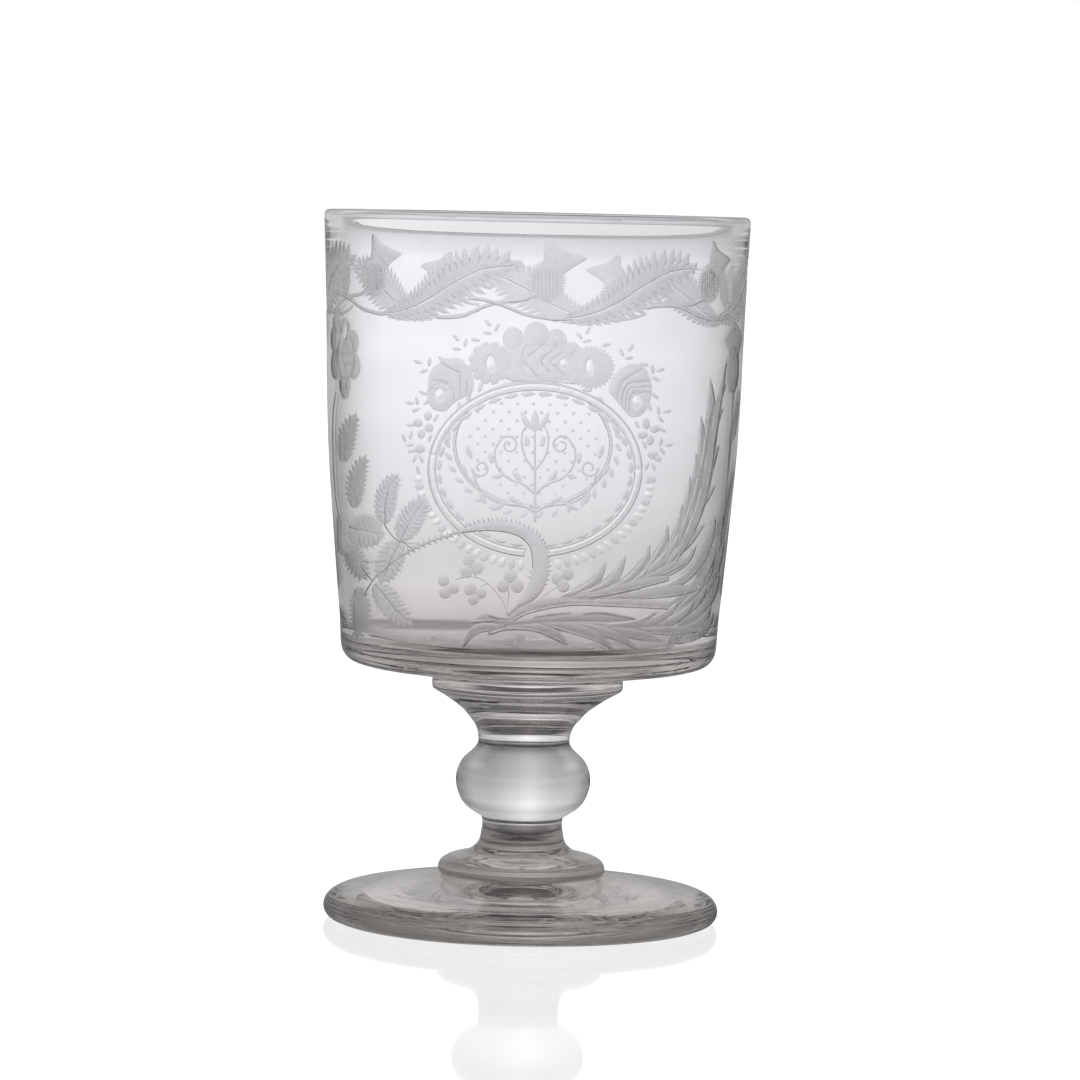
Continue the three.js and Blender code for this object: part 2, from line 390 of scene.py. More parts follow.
M_FOOT = clear_glass("foot_glass", [(0.0, (0.64, 0.60, 0.575)), (0.46, (0.66, 0.62, 0.595)), (0.56, (0.79, 0.755, 0.735)), (0.76, (0.82, 0.785, 0.765)), (0.86, (0.81, 0.77, 0.748)), (0.92, (0.75, 0.71, 0.688)),
                                    (0.97, (0.57, 0.534, 0.514)), (1.0, (0.40, 0.374, 0.358))],
                     (0.0, 0.042), along="R", edge=[(0.0, 1.0), (0.04, 1.0), (0.16, 0.76), (0.4, 0.36), (0.54, 0.38), (0.62, 0.72), (0.72, 0.66), (0.8, 0.80), (0.9, 0.45), (1.0, 0.2)])
M_JOIN = fused_face("fused_joint")
# painted shade on the cut glass: darker towards grazing
CUT_EDGE_SHADE = [(0.0, 1.0), (0.35, 0.94), (0.6, 0.78), (0.78, 0.62), (1.0, 0.45)]
M_MATTE = engraved_glass("wheel_cut_matte", (0.80, 0.783, 0.814), (0.85, 0.833, 0.862), (0.38, 0.55), 0.25, CUT_EDGE_SHADE)
# a dark copy of the cut glass that paints the shadow held in deep grooves and along the steep sides of cuts
M_LINE_SHADOW = engraved_glass("wheel_cut_line_painted_shadow", (0.28, 0.27, 0.28), (0.37, 0.36, 0.37), (0.3, 0.45), 0.2, CUT_EDGE_SHADE)
# two darker copies of the matte cut: painted shade for the fronds and for the leaves, stems and flowers that read
# darker
M_FROND_SHADE = engraved_glass("wheel_cut_frond_painted_shade", (0.40, 0.385, 0.406), (0.48, 0.464, 0.486), (0.34, 0.5), 0.25, CUT_EDGE_SHADE)
M_LEAF_SHADE = engraved_glass("wheel_cut_leaf_painted_shade", (0.64, 0.623, 0.652), (0.72, 0.702, 0.732), (0.36, 0.52), 0.25, CUT_EDGE_SHADE)


# ------------------------------------------------------------------ pieces
PIECES = []


def finish_piece(obj, node_name):
    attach(obj, "root")
    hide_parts(node_name)
    PIECES.append(obj)


def disc(shell, r, z, up, seg):
    """A flat joint face on the axis."""
    run = [(0, z), (r, z)] if not up else [(r, z), (0, z)]
    turn(shell, smooth(run, 3.0), seg, 1)


def stem_piece(name, outer, mat, seg=128, step=0.35, marks=None):
    sh = Shell()
    disc(sh, *outer[0], False, seg)
    turn(sh, smooth(outer, step), seg, 0, marks)
    disc(sh, *outer[-1], True, seg)
    finish_piece(sh.build("visual_" + name, [mat, M_JOIN]), name)


stem_piece("upper_collar", UPPER_COLLAR, M_COLLAR, 160, 0.12, ripple(0.010, 3, [0.9, 1.6]))
stem_piece("upper_neck", UPPER_NECK, M_NECK, 128, 0.22, ripple(0.018, 4, [1.5, 2.6]))
stem_piece("ball_knop", BALL_KNOP, M_KNOP, 144, 0.22, ripple(0.002, 5, [2.6, 4.0]))
stem_piece("lower_neck", LOWER_NECK, M_WAIST, 128, 0.22, ripple(0.010, 6, [0.9, 1.6]))
stem_piece("lower_collar", LOWER_COLLAR, M_STEP, 160, 0.15, ripple(0.012, 7, [0.9, 1.6]))

foot = Shell()
turn(foot, smooth(FOOT_DISH, 0.6), 192, 0)
turn(foot, smooth(FOOT_HOLLOW, 0.9), 192, 0, ripple(0.008, 8, [3.0, 5.0]))
turn(foot, smooth(FOOT_REST, 1.2), 192, 0)
turn(foot, smooth(FOOT_TOP, 0.2), 192, 0, ripple(0.020, 9, [1.1, 1.7, 2.9, 6.0]))
disc(foot, 17.4, 9.8, True, 192)
finish_piece(foot.build("visual_foot", [M_FOOT, M_JOIN]), "foot")

# ------------------------------------------------------------------ engraving
# Outlines are laid out as a designer's flat drawing of the bowl's front, in units of the
# 1080-wide frame, and carried onto the wall; the wall is then meshed around every outline
# and each cut is sunk into the glass.
ZLO, ZHI = 58.6, 147.0                 # engraved zone of the wall, mm
RREF = 43.0                            # mm per radian in the unrolled wall
LAP = 2 * math.pi * RREF
WALL = smooth(BOWL_OUT, 0.25)
WALL_UP = WALL[WALL[:, 1] > 54.0]
# LINE gives a cut the dark glass of painted shadow; LEAF and FROND give darker copies of the matte, painted shade
MATTE, LINE, LEAF, FROND, POLISH = 2, 3, 4, 5, 0  # material slots of the bowl
CUTS = []


def wall_r(z):
    return np.interp(z, WALL_UP[:, 1], WALL_UP[:, 0])


def to_wall(pts):
    """Drawing units to (arc, height) in mm on the unrolled outside wall."""
    p = np.asarray(pts, float)
    a, b = (p[:, 0] - 540) / FOCAL_PX, -(p[:, 1] - 540) / FOCAL_PX
    d = CAM_F + a[:, None] * CAM_R + b[:, None] * CAM_U
    r = np.full(len(p), 43.0)
    qa = d[:, 0] ** 2 + d[:, 1] ** 2
    qb = -CAM_D * d[:, 1] - OFF_AXIS * d[:, 0]
    for _ in range(10):
        t = (-qb - np.sqrt(np.maximum(qb ** 2 - qa * (CAM_D ** 2 + OFF_AXIS ** 2 - r ** 2), 0))) / qa
        z = CAM_Z + t * d[:, 2]
        r = wall_r(np.clip(z, 56.0, 147.0))
    x, y = t * d[:, 0] - OFF_AXIS, t * d[:, 1] - CAM_D
    return np.stack([np.arctan2(x, -y) * RREF, z], -1)


def densify(poly, step):
    out = []
    for p, q in zip(poly, np.roll(poly, -1, 0)):
        n = max(1, int(math.ceil(np.linalg.norm(q - p) / step)))
        out.append(p + (q - p) * (np.arange(n) / n)[:, None])
    return np.vstack(out)


SHALLOW = {"bulb": 0.5, "scoop": 0.55, "leaf": 0.7, "fan": 0.7}


def cut(px, kind="scoop", depth=0.28, width=1.0, mid=None, mat=MATTE, drawn=True, turns=(0.0,)):
    """Adds one closed cut; mid is its rib in the same units; turns repeats it round the bowl."""
    depth = depth * SHALLOW.get(kind, 1.0)
    poly = to_wall(px) if drawn else np.asarray(px, float)
    poly = densify(poly, 0.5)
    poly[:, 1] = np.clip(poly[:, 1], ZLO + 0.5, ZHI - 0.6)
    keep = np.linalg.norm(poly - np.roll(poly, 1, 0), axis=1) > 0.04
    poly = poly[keep]
    rib = None
    if mid is not None:
        rib = to_wall(mid) if drawn else np.asarray(mid, float)
    for turn_deg in turns:
        off = math.radians(turn_deg) * RREF
        c = poly[:, 0].mean() + off
        off -= LAP * round(c / LAP)
        CUTS.append(dict(poly=poly + [off, 0], kind=kind, depth=depth, width=width, mat=mat,
                         rib=None if rib is None else rib + [off, 0]))


def side_normals(mid):
    t = np.gradient(mid, axis=0)
    t /= np.maximum(np.linalg.norm(t, axis=1, keepdims=True), 1e-9)
    return np.stack([t[:, 1], -t[:, 0]], -1)


def arc_share(mid):
    s = np.concatenate([[0], np.cumsum(np.linalg.norm(np.diff(mid, axis=0), axis=1))])
    return s / s[-1]


def stroke(pts, w0, w1=None, step=4.0, blunt=True):
    """A drawn line of changing width."""
    mid = smooth(pts, step)
    t = arc_share(mid)
    h = 0.5 * (w0 + (w1 if w1 is not None else w0) * 0 + ((w1 if w1 is not None else w0) - w0) * t)
    if not blunt:
        h = h * np.clip(np.minimum(t, 1 - t) * 8 + 0.15, 0, 1)
    n = side_normals(mid) * h[:, None]
    return np.vstack([mid + n, (mid - n)[::-1]])


def blade(pts, w, peak=0.38, base=0.35, step=4.0):
    """A long lance-shaped leaflet."""
    mid = smooth(pts, step)
    t = arc_share(mid)
    h = np.where(t < peak, base + (1 - base) * np.sin(0.5 * np.pi * t / peak), np.cos(0.5 * np.pi * (t - peak) / (1 - peak)) ** 0.8)
    n = side_normals(mid) * (0.5 * w * np.maximum(h, 0.02))[:, None]
    return np.vstack([mid + n, (mid - n)[::-1]]), mid


def between(upper, lower, step=5.0):
    return np.vstack([smooth(upper, step), smooth(lower, step)[::-1]])


def oval(cx, cy, rx, ry, rot=0.0, n=26, lobes=0, amp=0.0, sharp=False, phase=0.0):
    n = max(n, lobes * (4 if sharp else 8))
    a = np.linspace(0, 2 * np.pi, n, endpoint=False)
    k = np.ones(n)
    if lobes:
        u = (a * lobes / (2 * np.pi) + phase) % 1.0
        k = 1 - amp + amp * ((1 - np.abs(2 * u - 1)) if sharp else np.abs(np.sin(np.pi * u)) ** 0.6) * 1.6
    x, y = rx * k * np.cos(a), ry * k * np.sin(a)
    c, s = math.cos(math.radians(rot)), math.sin(math.radians(rot))
    return np.stack([cx + c * x - s * y, cy + s * x + c * y], -1)


def toothed(mid_pts, one, other, n1, n2, notch=0.3, lean=1.15, step=2.0, deep=10.5):
    """A serrated leaf: rib, half widths along each side, teeth per side, all leaning to the tip."""
    mid = smooth(mid_pts, step)
    t = arc_share(mid)
    nrm = side_normals(mid)

    def at(tt):
        return np.array([np.interp(tt, t, mid[:, 0]), np.interp(tt, t, mid[:, 1])])

    def no(tt):
        v = np.array([np.interp(tt, t, nrm[:, 0]), np.interp(tt, t, nrm[:, 1])])
        return v / max(np.linalg.norm(v), 1e-9)

    notches = []

    def edge(ctrl, n, sgn):
        wide = lambda tt: float(np.interp(tt, *ctrl)) * min(1.0, (1.0 - min(tt, 1.0)) / 0.09)
        pts = [at(0) + sgn * no(0) * wide(0)]
        for i in range(n - 1):
            t0, t1 = i / n, (i + 1) / n
            tip = min(t0 + lean / n, 0.97)
            w = wide(min(t0 + 0.6 / n, 0.97))
            inset = min(notch * w, deep)
            pts.append(at(t0 + 0.5 / n) + sgn * no(t0 + 0.5 / n) * (w - 0.40 * inset))
            pts.append(at(tip) + sgn * no(tip) * w)
            pts.append(at(t1) + sgn * no(t1) * max(wide(t1) - inset, 0.3 * wide(t1)))
            notches.append((pts[-1], at(max(t1 - 1.1 / n, 0.0))))
        return pts
    a = edge(one, n1, 1)
    b = edge(other, n2, -1)
    return np.array(a + [at(1)] + b[::-1]), mid, notches


def vein_lines(notches, w, share, turns=(0.0,)):
    """Short tapering wheel strokes from the notches of a leaf in towards its rib, in the dark glass of painted shadow.
    """
    for out, rib in notches:
        run = rib - out
        ln = np.linalg.norm(run)
        if ln < 5 * w:
            continue
        side = np.array([-run[1], run[0]]) / ln * w * 0.5
        cut(np.array([out + run * 0.05 + side, out + run * 0.05 - side, out + run * share]), "line", 0.2, 0.15, mat=LINE, turns=turns)


def rib_line(pts, w, depth=0.3, side=1, turns=(0.0,)):
    """A cut rib: a grey line of painted shadow with a bright one of clear glass along it."""
    mid = smooth(pts, 4.0)
    n = side_normals(mid)
    cut(stroke(list(mid + side * n * w * 0.5), w), "line", depth, 0.25, mat=LINE, turns=turns)
    cut(stroke(list(mid - side * n * w * 0.5), w), "line", depth * 0.5, 0.25, mat=POLISH, turns=turns)


# ---- border: seven thistles on a twining stem
FRONT, REAR = [-51.3, 0.0, 51.0], [101.6, 152.3, 203.6, 256.0]
UNITS = FRONT + REAR
rib2 = [(566, 318.5), (580, 317), (600, 311.5), (620, 302), (640, 288.5), (655, 280), (668, 273), (680, 270.5), (692, 269), (702.5, 270)]
leaf2, mid2, notch2 = toothed(rib2, ([0, .095, .235, .40, .5, .6, .66, .76, .84, .89, .945, 1], [5, 11, 17, 23.5, 27.5, 29.5, 28.5, 26, 22.5, 17.5, 9.5, 0.5]),
                      ([0, .115, .21, .25, .37, .48, .585, .7, .8, .9, 1], [5, 11.5, 15, 17, 22, 24, 25, 22, 16.5, 9, 0.5]), 23, 19, 0.42)
stem_a = [(437, 317), (450, 317), (465, 315), (480, 308), (495, 303), (510, 301), (525, 299), (537, 294)]
stem_b = [(468, 298), (480, 299), (497, 303), (510, 308), (525, 314), (540, 317), (556, 319), (572, 318)]
crown = [(541, 266), (543.6, 258), (544.6, 247), (545.9, 238.8), (548.4, 238), (551, 239), (556, 244.2), (561.4, 248.4), (570, 251.8),
         (580, 254.6), (587.4, 258.4), (583.5, 261.6), (574, 267), (565, 273.5), (557, 276)]
stem_c = [(650, 304), (665, 303), (680, 304.6), (692, 304.2), (704, 298.5)]
stem_d = [(646, 307.6), (658, 306), (670, 305.6), (682, 307.4), (691, 312), (702, 317), (712, 319.5), (724, 318), (732, 315)]
# stems in the darker leaf glass (painted shade); on the front units a thin dark line of painted shadow runs just below
# each, here and for the second stems below
for line, turns in ((stem_a, FRONT[:2]), (stem_a[5:], REAR), (stem_c, (0.0,))):
    cut(stroke(line, 3.6, 3.8), "line", 0.16, 0.5, mat=LEAF, turns=turns)
    if turns is not REAR:
        cut(stroke([(x, y + 1.5) for x, y in line], 1.1), "line", 0.24, 0.2, mat=LINE, turns=turns)
cut(leaf2, "leaf", 0.24, 1.8, mid2, mat=LEAF, turns=UNITS)
vein_lines(notch2, 1.5, 0.5, FRONT)
for line, turns in ((stem_b, FRONT[:2]), (stem_b[3:], REAR), (stem_d, (0.0,))):
    cut(stroke(line, 3.6, 3.8), "line", 0.16, 0.5, mat=LEAF, turns=turns)
    if turns is not REAR:
        cut(stroke([(x, y + 1.5) for x, y in line], 1.1), "line", 0.24, 0.2, mat=LINE, turns=turns)
rib_line(rib2[:-1], 1.1, 0.3, 1, UNITS)
cut(np.array(crown), "fan", 0.24, 1.4, np.array([(548, 284), (549, 283)]), mat=LEAF, turns=UNITS)
cut(oval(546, 281.5, 19.6, 20.4, 0, 30, 40, 0.15, True), "scale", 0.18, 1.2, mat=LEAF, turns=UNITS)
for k in range(7):
    x = 534.5 + 3.8 * k
    y = 17.5 * math.sqrt(1 - ((x - 546) / 18.5) ** 2)
    cut(stroke([(x, 281.5 - 0.75 * y), (x, 281.5), (x, 281.5 + 0.92 * y)], 0.5, blunt=False), "line", 0.12, 0.1, mat=FROND, turns=FRONT)


# ---- crest over the oval
# a sunk line in the dark glass of painted shadow, unless another is given
def groove(pts, w=1.5, depth=0.45, step=4.0, mat=LINE):
    cut(stroke(pts, w * 0.9, step=step), "line", depth * 0.7, w * 0.1, mat=mat)


def eye(cx, cy, rx, ry, rot=0):
    cut(oval(cx, cy, rx, ry, rot, 18), "bulb", 0.36, max(rx, ry) * 0.2, mat=POLISH)


fan = [(503, 341), (506, 352), (508, 362), (505, 372), (509, 380), (520, 382), (548, 381.5), (574, 383), (571, 376), (572, 366), (573, 356),
       (580, 351), (572, 344), (560, 341), (540, 338), (520, 340)]
cut(smooth(fan + fan[:1], 4)[:-1], "flat", 0.20, 0.8)
for (cx, cy, rx, ry) in [(513, 338.5, 10.4, 11.6), (572, 352, 9, 10), (556, 340.5, 11, 11.8), (536.5, 335, 12.8, 13.6)]:
    cut(oval(cx, cy, rx, ry, 0, 24), "bulb", 0.42, 2.6)
cut(np.array([(525, 346), (549, 346), (560, 350), (571, 357), (570, 381), (541, 381), (526, 378), (522, 362)], float), "scoop", 0.30, 2.0)
for pts in ([(544, 343), (534, 352), (524, 361), (531, 369), (538, 377)],
            [(558, 345), (549, 353), (541, 361), (545, 367), (550, 373)], [(562, 352), (551, 362), (557, 368), (564, 375)]):
    groove(pts, 1.1, 0.30, mat=FROND)
eye(564, 363.5, 4.2, 4.6)
cut(oval(490, 363, 20.6, 20.6, 0, 40, 12, 0.10), "bulb", 0.46, 3.6)
eye(490.5, 363.5, 4.4, 8.0)
cut(oval(591, 367.5, 23, 21.4, 0, 60, 30, 0.09, True), "bulb", 0.46, 3.8)
eye(590, 367, 4.0, 8.2)
shell_l = [(437, 355.5), (447, 358.5), (458, 358), (466, 364), (472, 374), (474, 385), (472, 393), (462, 398.5), (453, 404), (446, 411),
           (438, 411), (431, 405), (427, 396), (428, 385), (429, 375), (434, 367), (440, 362)]
cut(smooth(shell_l + shell_l[:1], 4)[:-1], "scoop", 0.32, 2.6)
cut(oval(440.5, 397.5, 12.6, 14, 12, 26), "bulb", 0.42, 2.6)
for pts in ([(441, 362), (450, 368), (460, 373)], [(432, 380), (440, 381), (449, 384)], [(430, 388), (438, 389), (447, 391)],
            [(460, 374), (460.5, 385), (460, 399)], [(453, 391), (453.5, 396), (453, 403)], [(467, 380), (467, 388), (466, 394)]):
    groove(pts, 1.1, 0.30, mat=FROND)
eye(439.5, 394.5, 4.6, 6.0, 15)
shell_r = [(608.5, 392), (611, 381), (617, 372), (626, 365.5), (636, 363.8), (644, 367), (649, 376), (652, 387), (650.5, 399), (647, 409),
           (640, 416), (631, 417), (625, 411.5), (618, 403)]
cut(smooth(shell_r + shell_r[:1], 4)[:-1], "scoop", 0.34, 2.6)
cut(oval(638, 403, 9.6, 12.6, 8, 22), "bulb", 0.36, 2.0)
for pts in ([(643, 368), (634, 374), (624, 381), (619, 390), (617, 401)], [(650, 381.5), (640, 382), (630, 383.5), (624, 391), (621.5, 404)],
            [(651, 386.5), (640, 387), (630, 388.5), (626.5, 398), (625, 410)], [(651, 391.5), (641, 392), (632, 393.5), (629.5, 402), (628.5, 413)]):
    groove(pts, 1.1, 0.30, mat=FROND)
eye(637, 401.5, 4.6, 6.0)

# ---- oval ring with its leaf dashes and beads
OC, ORX, ORY = (535.0, 469.6), 107.0, 87.0


def ring_pt(k, ang):
    return OC[0] + (ORX + k) * math.cos(ang), OC[1] + (ORY + k) * math.sin(ang)


def ring_band(k0, k1, a0, a1, n):
    ang = np.linspace(math.radians(a0), math.radians(a1), n)
    outer = [ring_pt(k0, a) for a in ang]
    inner = [ring_pt(k1, a) for a in ang[::-1]]
    return np.array(outer + inner)


for (a0, a1) in ((95.5, 190.0), (190.0, 284.0), (284.0, 360.0), (0.0, 83.5)):
    cut(ring_band(-1.0, -6.6, a0, a1, 46), "scoop", 0.30, 0.55, mat=POLISH)
    cut(ring_band(0.6, -1.3, a0, a1, 46), "line", 0.2, 0.25)
    cut(ring_band(-6.3, -8.0, a0, a1, 46), "line", 0.2, 0.25)
deg = 97.0
while deg < 442.0:
    px = ring_pt(-11.0, math.radians(deg + 5))
    if not (80 < (deg % 360) < 97):
        b = ring_band(-8.4, -13.6, deg, deg + 8.2, 8)
        c = b.mean(0)
        w = np.concatenate([np.sin(np.linspace(0.25, math.pi - 0.25, 8)), np.sin(np.linspace(0.25, math.pi - 0.25, 8))])
        m = (b + np.roll(b[::-1], 0, 0)) / 2
        cut(m + (b - m) * np.maximum(w, 0.35)[:, None], "scoop", 0.26, 0.5)
    deg += 10.3
for i, deg in enumerate(np.arange(6, 176, 4.55)):
    a = math.radians(deg)
    x, y = OC[0] + (ORX + 10.3) * math.cos(a), OC[1] + (ORY + 9.4) * math.sin(a)
    if 527 < x < 553:
        continue
    low = math.sin(a)
    rot = math.degrees(math.atan2(y - OC[1], x - OC[0]))
    cut(oval(x, y, 4.4 + 1.0 * low, 3.9 - 0.6 * low, rot, 12), "bulb", 0.23, 0.8, mat=POLISH if i % 3 else MATTE)

# ---- sprigs and small flowers
DASHES = [(418, 362, 20), (429.5, 362, -82), (424, 371, -20), (410, 403, 5), (417, 401, 78), (416, 410, -25), (423, 393, 25), (427, 402, -40),
          (404, 438, 70), (411, 435, -75), (410, 445, -10), (456, 338, 48), (465.5, 343, -76), (457, 349, 4), (475.5, 340, 6), (488, 323, 48),
          (497, 327.5, -62), (487.5, 333, 8), (579.5, 336, 52), (588, 330.5, -60), (587, 341, -12), (606, 345, -14), (621.5, 352.5, 60),
          (631, 348, -56), (629, 358, -8), (644, 364.5, 14), (652.5, 369.5, 86), (660.5, 370, -18), (656, 379, 28), (655, 396, 42), (649.5, 407, 68),
          (658.5, 410.5, 82), (667, 411.5, -14), (660.5, 419, 50), (661, 442, -80), (669, 445, -10), (662, 451, 52), (418, 470, 80),
          (436, 418, -60), (430, 438, -70), (411, 425, 0), (637, 424.5, 62), (662, 430, 30), (644.5, 445, 68), (647, 466, -70), (653.5, 467, 72), (648.5, 480, -78),
          (412, 451, -15), (415, 458.5, -65), (421.5, 459, 70)]
for (x, y, rot) in DASHES:
    cut(oval(x, y, 4.5, 1.8, rot, 12), "bulb", 0.26, 0.36)
for (x, y, rx, ry, rot) in [(428, 416, 3.8, 5, 10), (418, 423, 4.8, 4.2, 20), (429, 428, 4.4, 4.6, 0), (421.5, 434, 3.8, 5, 15), (420, 449, 5, 4.6, 0),
                            (646, 423.5, 3.9, 6, -8), (655, 429, 5.2, 4, -20), (642.5, 435, 5.2, 3.8, -12), (650, 440.5, 3.8, 5.2, 10), (653, 455, 5.6, 4.2, 10), (658, 459, 3.4, 3, 30)]:
    cut(oval(x, y, rx, ry, rot, 16), "bulb", 0.34, 0.9)

# ---- rose on the left
for (x, y, rx, ry) in [(333.4, 338, 2.8, 13.5), (336.7, 322.5, 3.9, 11.0), (345.3, 331, 5.6, 13.0), (352.6, 342, 6.4, 12.4), (335.8, 364, 5.0, 16), (353.8, 366, 6.7, 13.6), (345, 384, 5.7, 15.4),
                       (344.5, 357, 8.5, 23)]:
    cut(oval(x, y, rx, ry, 0, 26), "bulb", 0.42, 1.0, mat=LEAF)
cut(oval(344.8, 331.5, 2.2, 7.6, 6, 16), "line", 0.05, 0.6, mat=POLISH)
# short dark lines of painted shadow across the rose
for pts in ([(340.5, 355), (345, 354), (350.5, 353)], [(343, 365.4), (347, 364), (351, 363)]):
    cut(stroke(pts, 1.1), "line", 0.22, 0.2, mat=LINE)
cut(stroke([(336, 392), (333.4, 410), (332.8, 430), (333.2, 455), (334.4, 480), (336.5, 503), (341, 522), (348, 527)], 1.3), "line", 0.07, 0.3)

# ---- rose leaves
W1 = ([0, .1, .3, .55, .8, .93, 1], [0.22, 0.78, 1.0, 1.0, 0.78, 0.4, 0.1])


def rose_leaf(mid, w, n=9, teeth=3.1, mat=LEAF):
    wt, ww = W1
    ww = [v * w for v in ww]
    poly, m, notches = toothed(mid, (wt, ww), (wt, ww), n, n, 0.5, 0.98, deep=teeth)
    cut(poly, "leaf" if mat == LEAF else "scoop", 0.22, 1.2, m, mat=mat)
    if mat == LEAF:
        # veins and rib in the dark glass of painted shadow
        vein_lines(notches, 0.85, 0.66)
        cut(stroke(list(smooth(mid, 6))[:-1], 1.1, 0.8), "line", 0.22, 0.2, mat=LINE)


rose_leaf([(344, 462), (345.5, 446), (349, 430), (357, 412)], 10.8, 10, 4.0, FROND)
rose_leaf([(355, 508), (355.5, 490), (358.5, 472), (366.5, 453.5)], 10.8, 11, 4.0, FROND)
rose_leaf([(385, 524), (385, 506), (389, 488), (399.5, 472.5)], 12.2, 12)
rose_leaf([(400, 540), (407, 527), (415, 513), (427.5, 497)], 14.2, 11)
rose_leaf([(349, 527), (358, 529.5), (369, 532), (385, 535)], 18, 8)
cut(between([(336.5, 517), (341, 514), (346.5, 519), (349, 528)], [(337.5, 551), (341, 555), (345.5, 554), (349.5, 545)]), "leaf", 0.2, 1.0, np.array([(338, 520), (342, 534), (346, 550)]), mat=LEAF)
rose_leaf([(348, 545), (353, 556), (359, 568), (367.5, 581)], 11.8, 9, 4.2, FROND)
rose_leaf([(400, 541), (393.5, 553), (387.5, 567), (380, 584)], 14.6, 10)
rose_leaf([(375, 584), (385.5, 597), (396, 610), (413, 626.5)], 13.6, 11)
rose_leaf([(359, 587), (360.5, 603), (360, 620), (357, 641)], 11.4, 11, 4.0, FROND)
for pts in ([(384, 524), (390, 533), (397, 540), (410, 543.5), (421, 544)], [(362, 561), (372, 562.5), (384, 561)], [(360, 565), (366, 574), (373, 581)],
            [(400, 556), (388, 566), (375, 578), (368, 588), (364, 596)], [(348, 526), (352, 528), (357, 529.5)], [(402, 541), (408, 546), (413, 549)]):
    groove(pts, 1.2, 0.34)

# ---- thorny branch that hooks over the ring
twig = [(400, 555.5), (410, 550.5), (420, 545.5), (433, 540), (445, 536), (457, 532.5), (472, 531)]
cut(stroke(twig, 2.6), "line", 0.24, 0.3, mat=LEAF)
groove([(x, y + 1.1) for x, y in twig], 0.9, 0.36)
up_edge = [(462, 529), (475, 523.5), (490, 520.5), (505, 520.5), (520, 524), (532, 530), (541, 538), (546.5, 549), (548.5, 562), (547.5, 577), (543, 590), (534, 600.5), (522, 609), (508, 617)]
lo_edge = [(462, 532), (476, 531), (490, 530.5), (505, 532), (516, 535), (525, 540.5), (530.5, 548), (532.5, 558), (532.5, 568), (530, 580), (524, 591), (514, 603), (505, 613)]
cut(between(up_edge, lo_edge), "scoop", 0.36, 1.3, mat=LEAF)
groove(lo_edge[:9], 1.1, 0.5)


# thorns cut in the dark glass of painted shadow
def thorns(pts, pitch, length, side, lean=0.5, w=1.3):
    mid = smooth(pts, 1.0)
    s = np.concatenate([[0], np.cumsum(np.linalg.norm(np.diff(mid, axis=0), axis=1))])
    nrm = side_normals(mid)
    for d in np.arange(pitch, s[-1] - pitch * 0.5, pitch):
        i = int(np.searchsorted(s, d))
        t = np.array([-nrm[i][1], nrm[i][0]])
        n = side * nrm[i]
        tip = mid[i] + n * length + t * length * lean
        cut(np.array([mid[i] - t * w * 0.7 - n * 0.4, mid[i] + t * w * 0.7 - n * 0.4, tip]), "line", 0.24, 0.2, mat=LINE)


thorns(up_edge[:-3], 4.6, 4.2, 1, -0.35)
thorns(lo_edge[8:-3], 4.6, 3.6, -1, -0.35)
thorns([(402, 553.5), (420, 544), (445, 535), (466, 530)], 6.0, 4.2, 1, 0.5)
thorns([(402, 557), (420, 547.5), (445, 538), (466, 533)], 6.0, 3.8, -1, 0.5)

# ---- shamrocks
for leaf3 in ([(443.6, 580.6, 5.6), (445.4, 592.2, 6.1), (453.6, 588.4, 5.2)], [(468.8, 560.6, 5.8), (466.2, 571.2, 6.0), (477.0, 567.8, 6.2)], [(470.2, 589.2, 5.8), (480.8, 593.2, 5.3), (473.2, 599.6, 5.3)],
              [(510.2, 576.2, 6.6), (503, 586, 6.1), (517.2, 586.2, 6.3)], [(557, 578.8, 5.4), (567.6, 574.2, 5.8), (563.4, 586.4, 5.9)], [(509, 641, 4.6), (520, 636.5, 4.8), (515.5, 647.5, 4.8)]):
    for (x, y, r) in leaf3:
        cut(oval(x, y, r * 1.04, r * 1.08, 0, 20), "bulb", 0.26, 1.35, mat=LEAF)
for pts in ([(455, 580), (465, 577), (476, 577.5), (487, 583), (496, 592), (503, 602), (507, 612)], [(474, 573), (475.5, 575.5), (477, 577.5)], [(481, 587), (484, 585), (487.5, 583.5)],
            [(508.8, 590), (508.4, 598), (507, 608)], [(557, 586.5), (548, 593), (538, 601)]):
    groove(pts, 1.0, 0.32)


# ---- fronds and crossed stems on the right
def leaflet(pts, w, line=True, side=-1, peak=0.38):
    w = w * 1.4
    poly, mid = blade(pts, w, peak)
    cut(poly, "scoop", 0.24, max(0.5, w * 0.09), mid, mat=FROND)
    # a dark line of painted shadow along one edge, a clear polished line along the other
    if line:
        h = 0.5 * w * np.where(arc_share(mid) < peak, 0.8, np.cos(0.5 * np.pi * np.clip((arc_share(mid) - peak) / (1 - peak), 0, 1)) ** 0.8 * 0.8)
        edge = (mid + side * side_normals(mid) * h[:, None])[1:-1]
        cut(stroke(list(edge[::2]), 1.0, 0.7), "line", 0.24, 0.14, mat=LINE)
        edge = (mid - side * side_normals(mid) * h[:, None] * 0.8)[1:-2]
        cut(stroke(list(edge[::2]), 0.9, 0.6), "line", 0.1, 0.14, mat=POLISH)


def frond(upper, lower, line):
    cut(between(upper, lower), "scoop", 0.25, 1.1, mat=FROND)
    if line:
        groove(line, 1.5, 0.36)


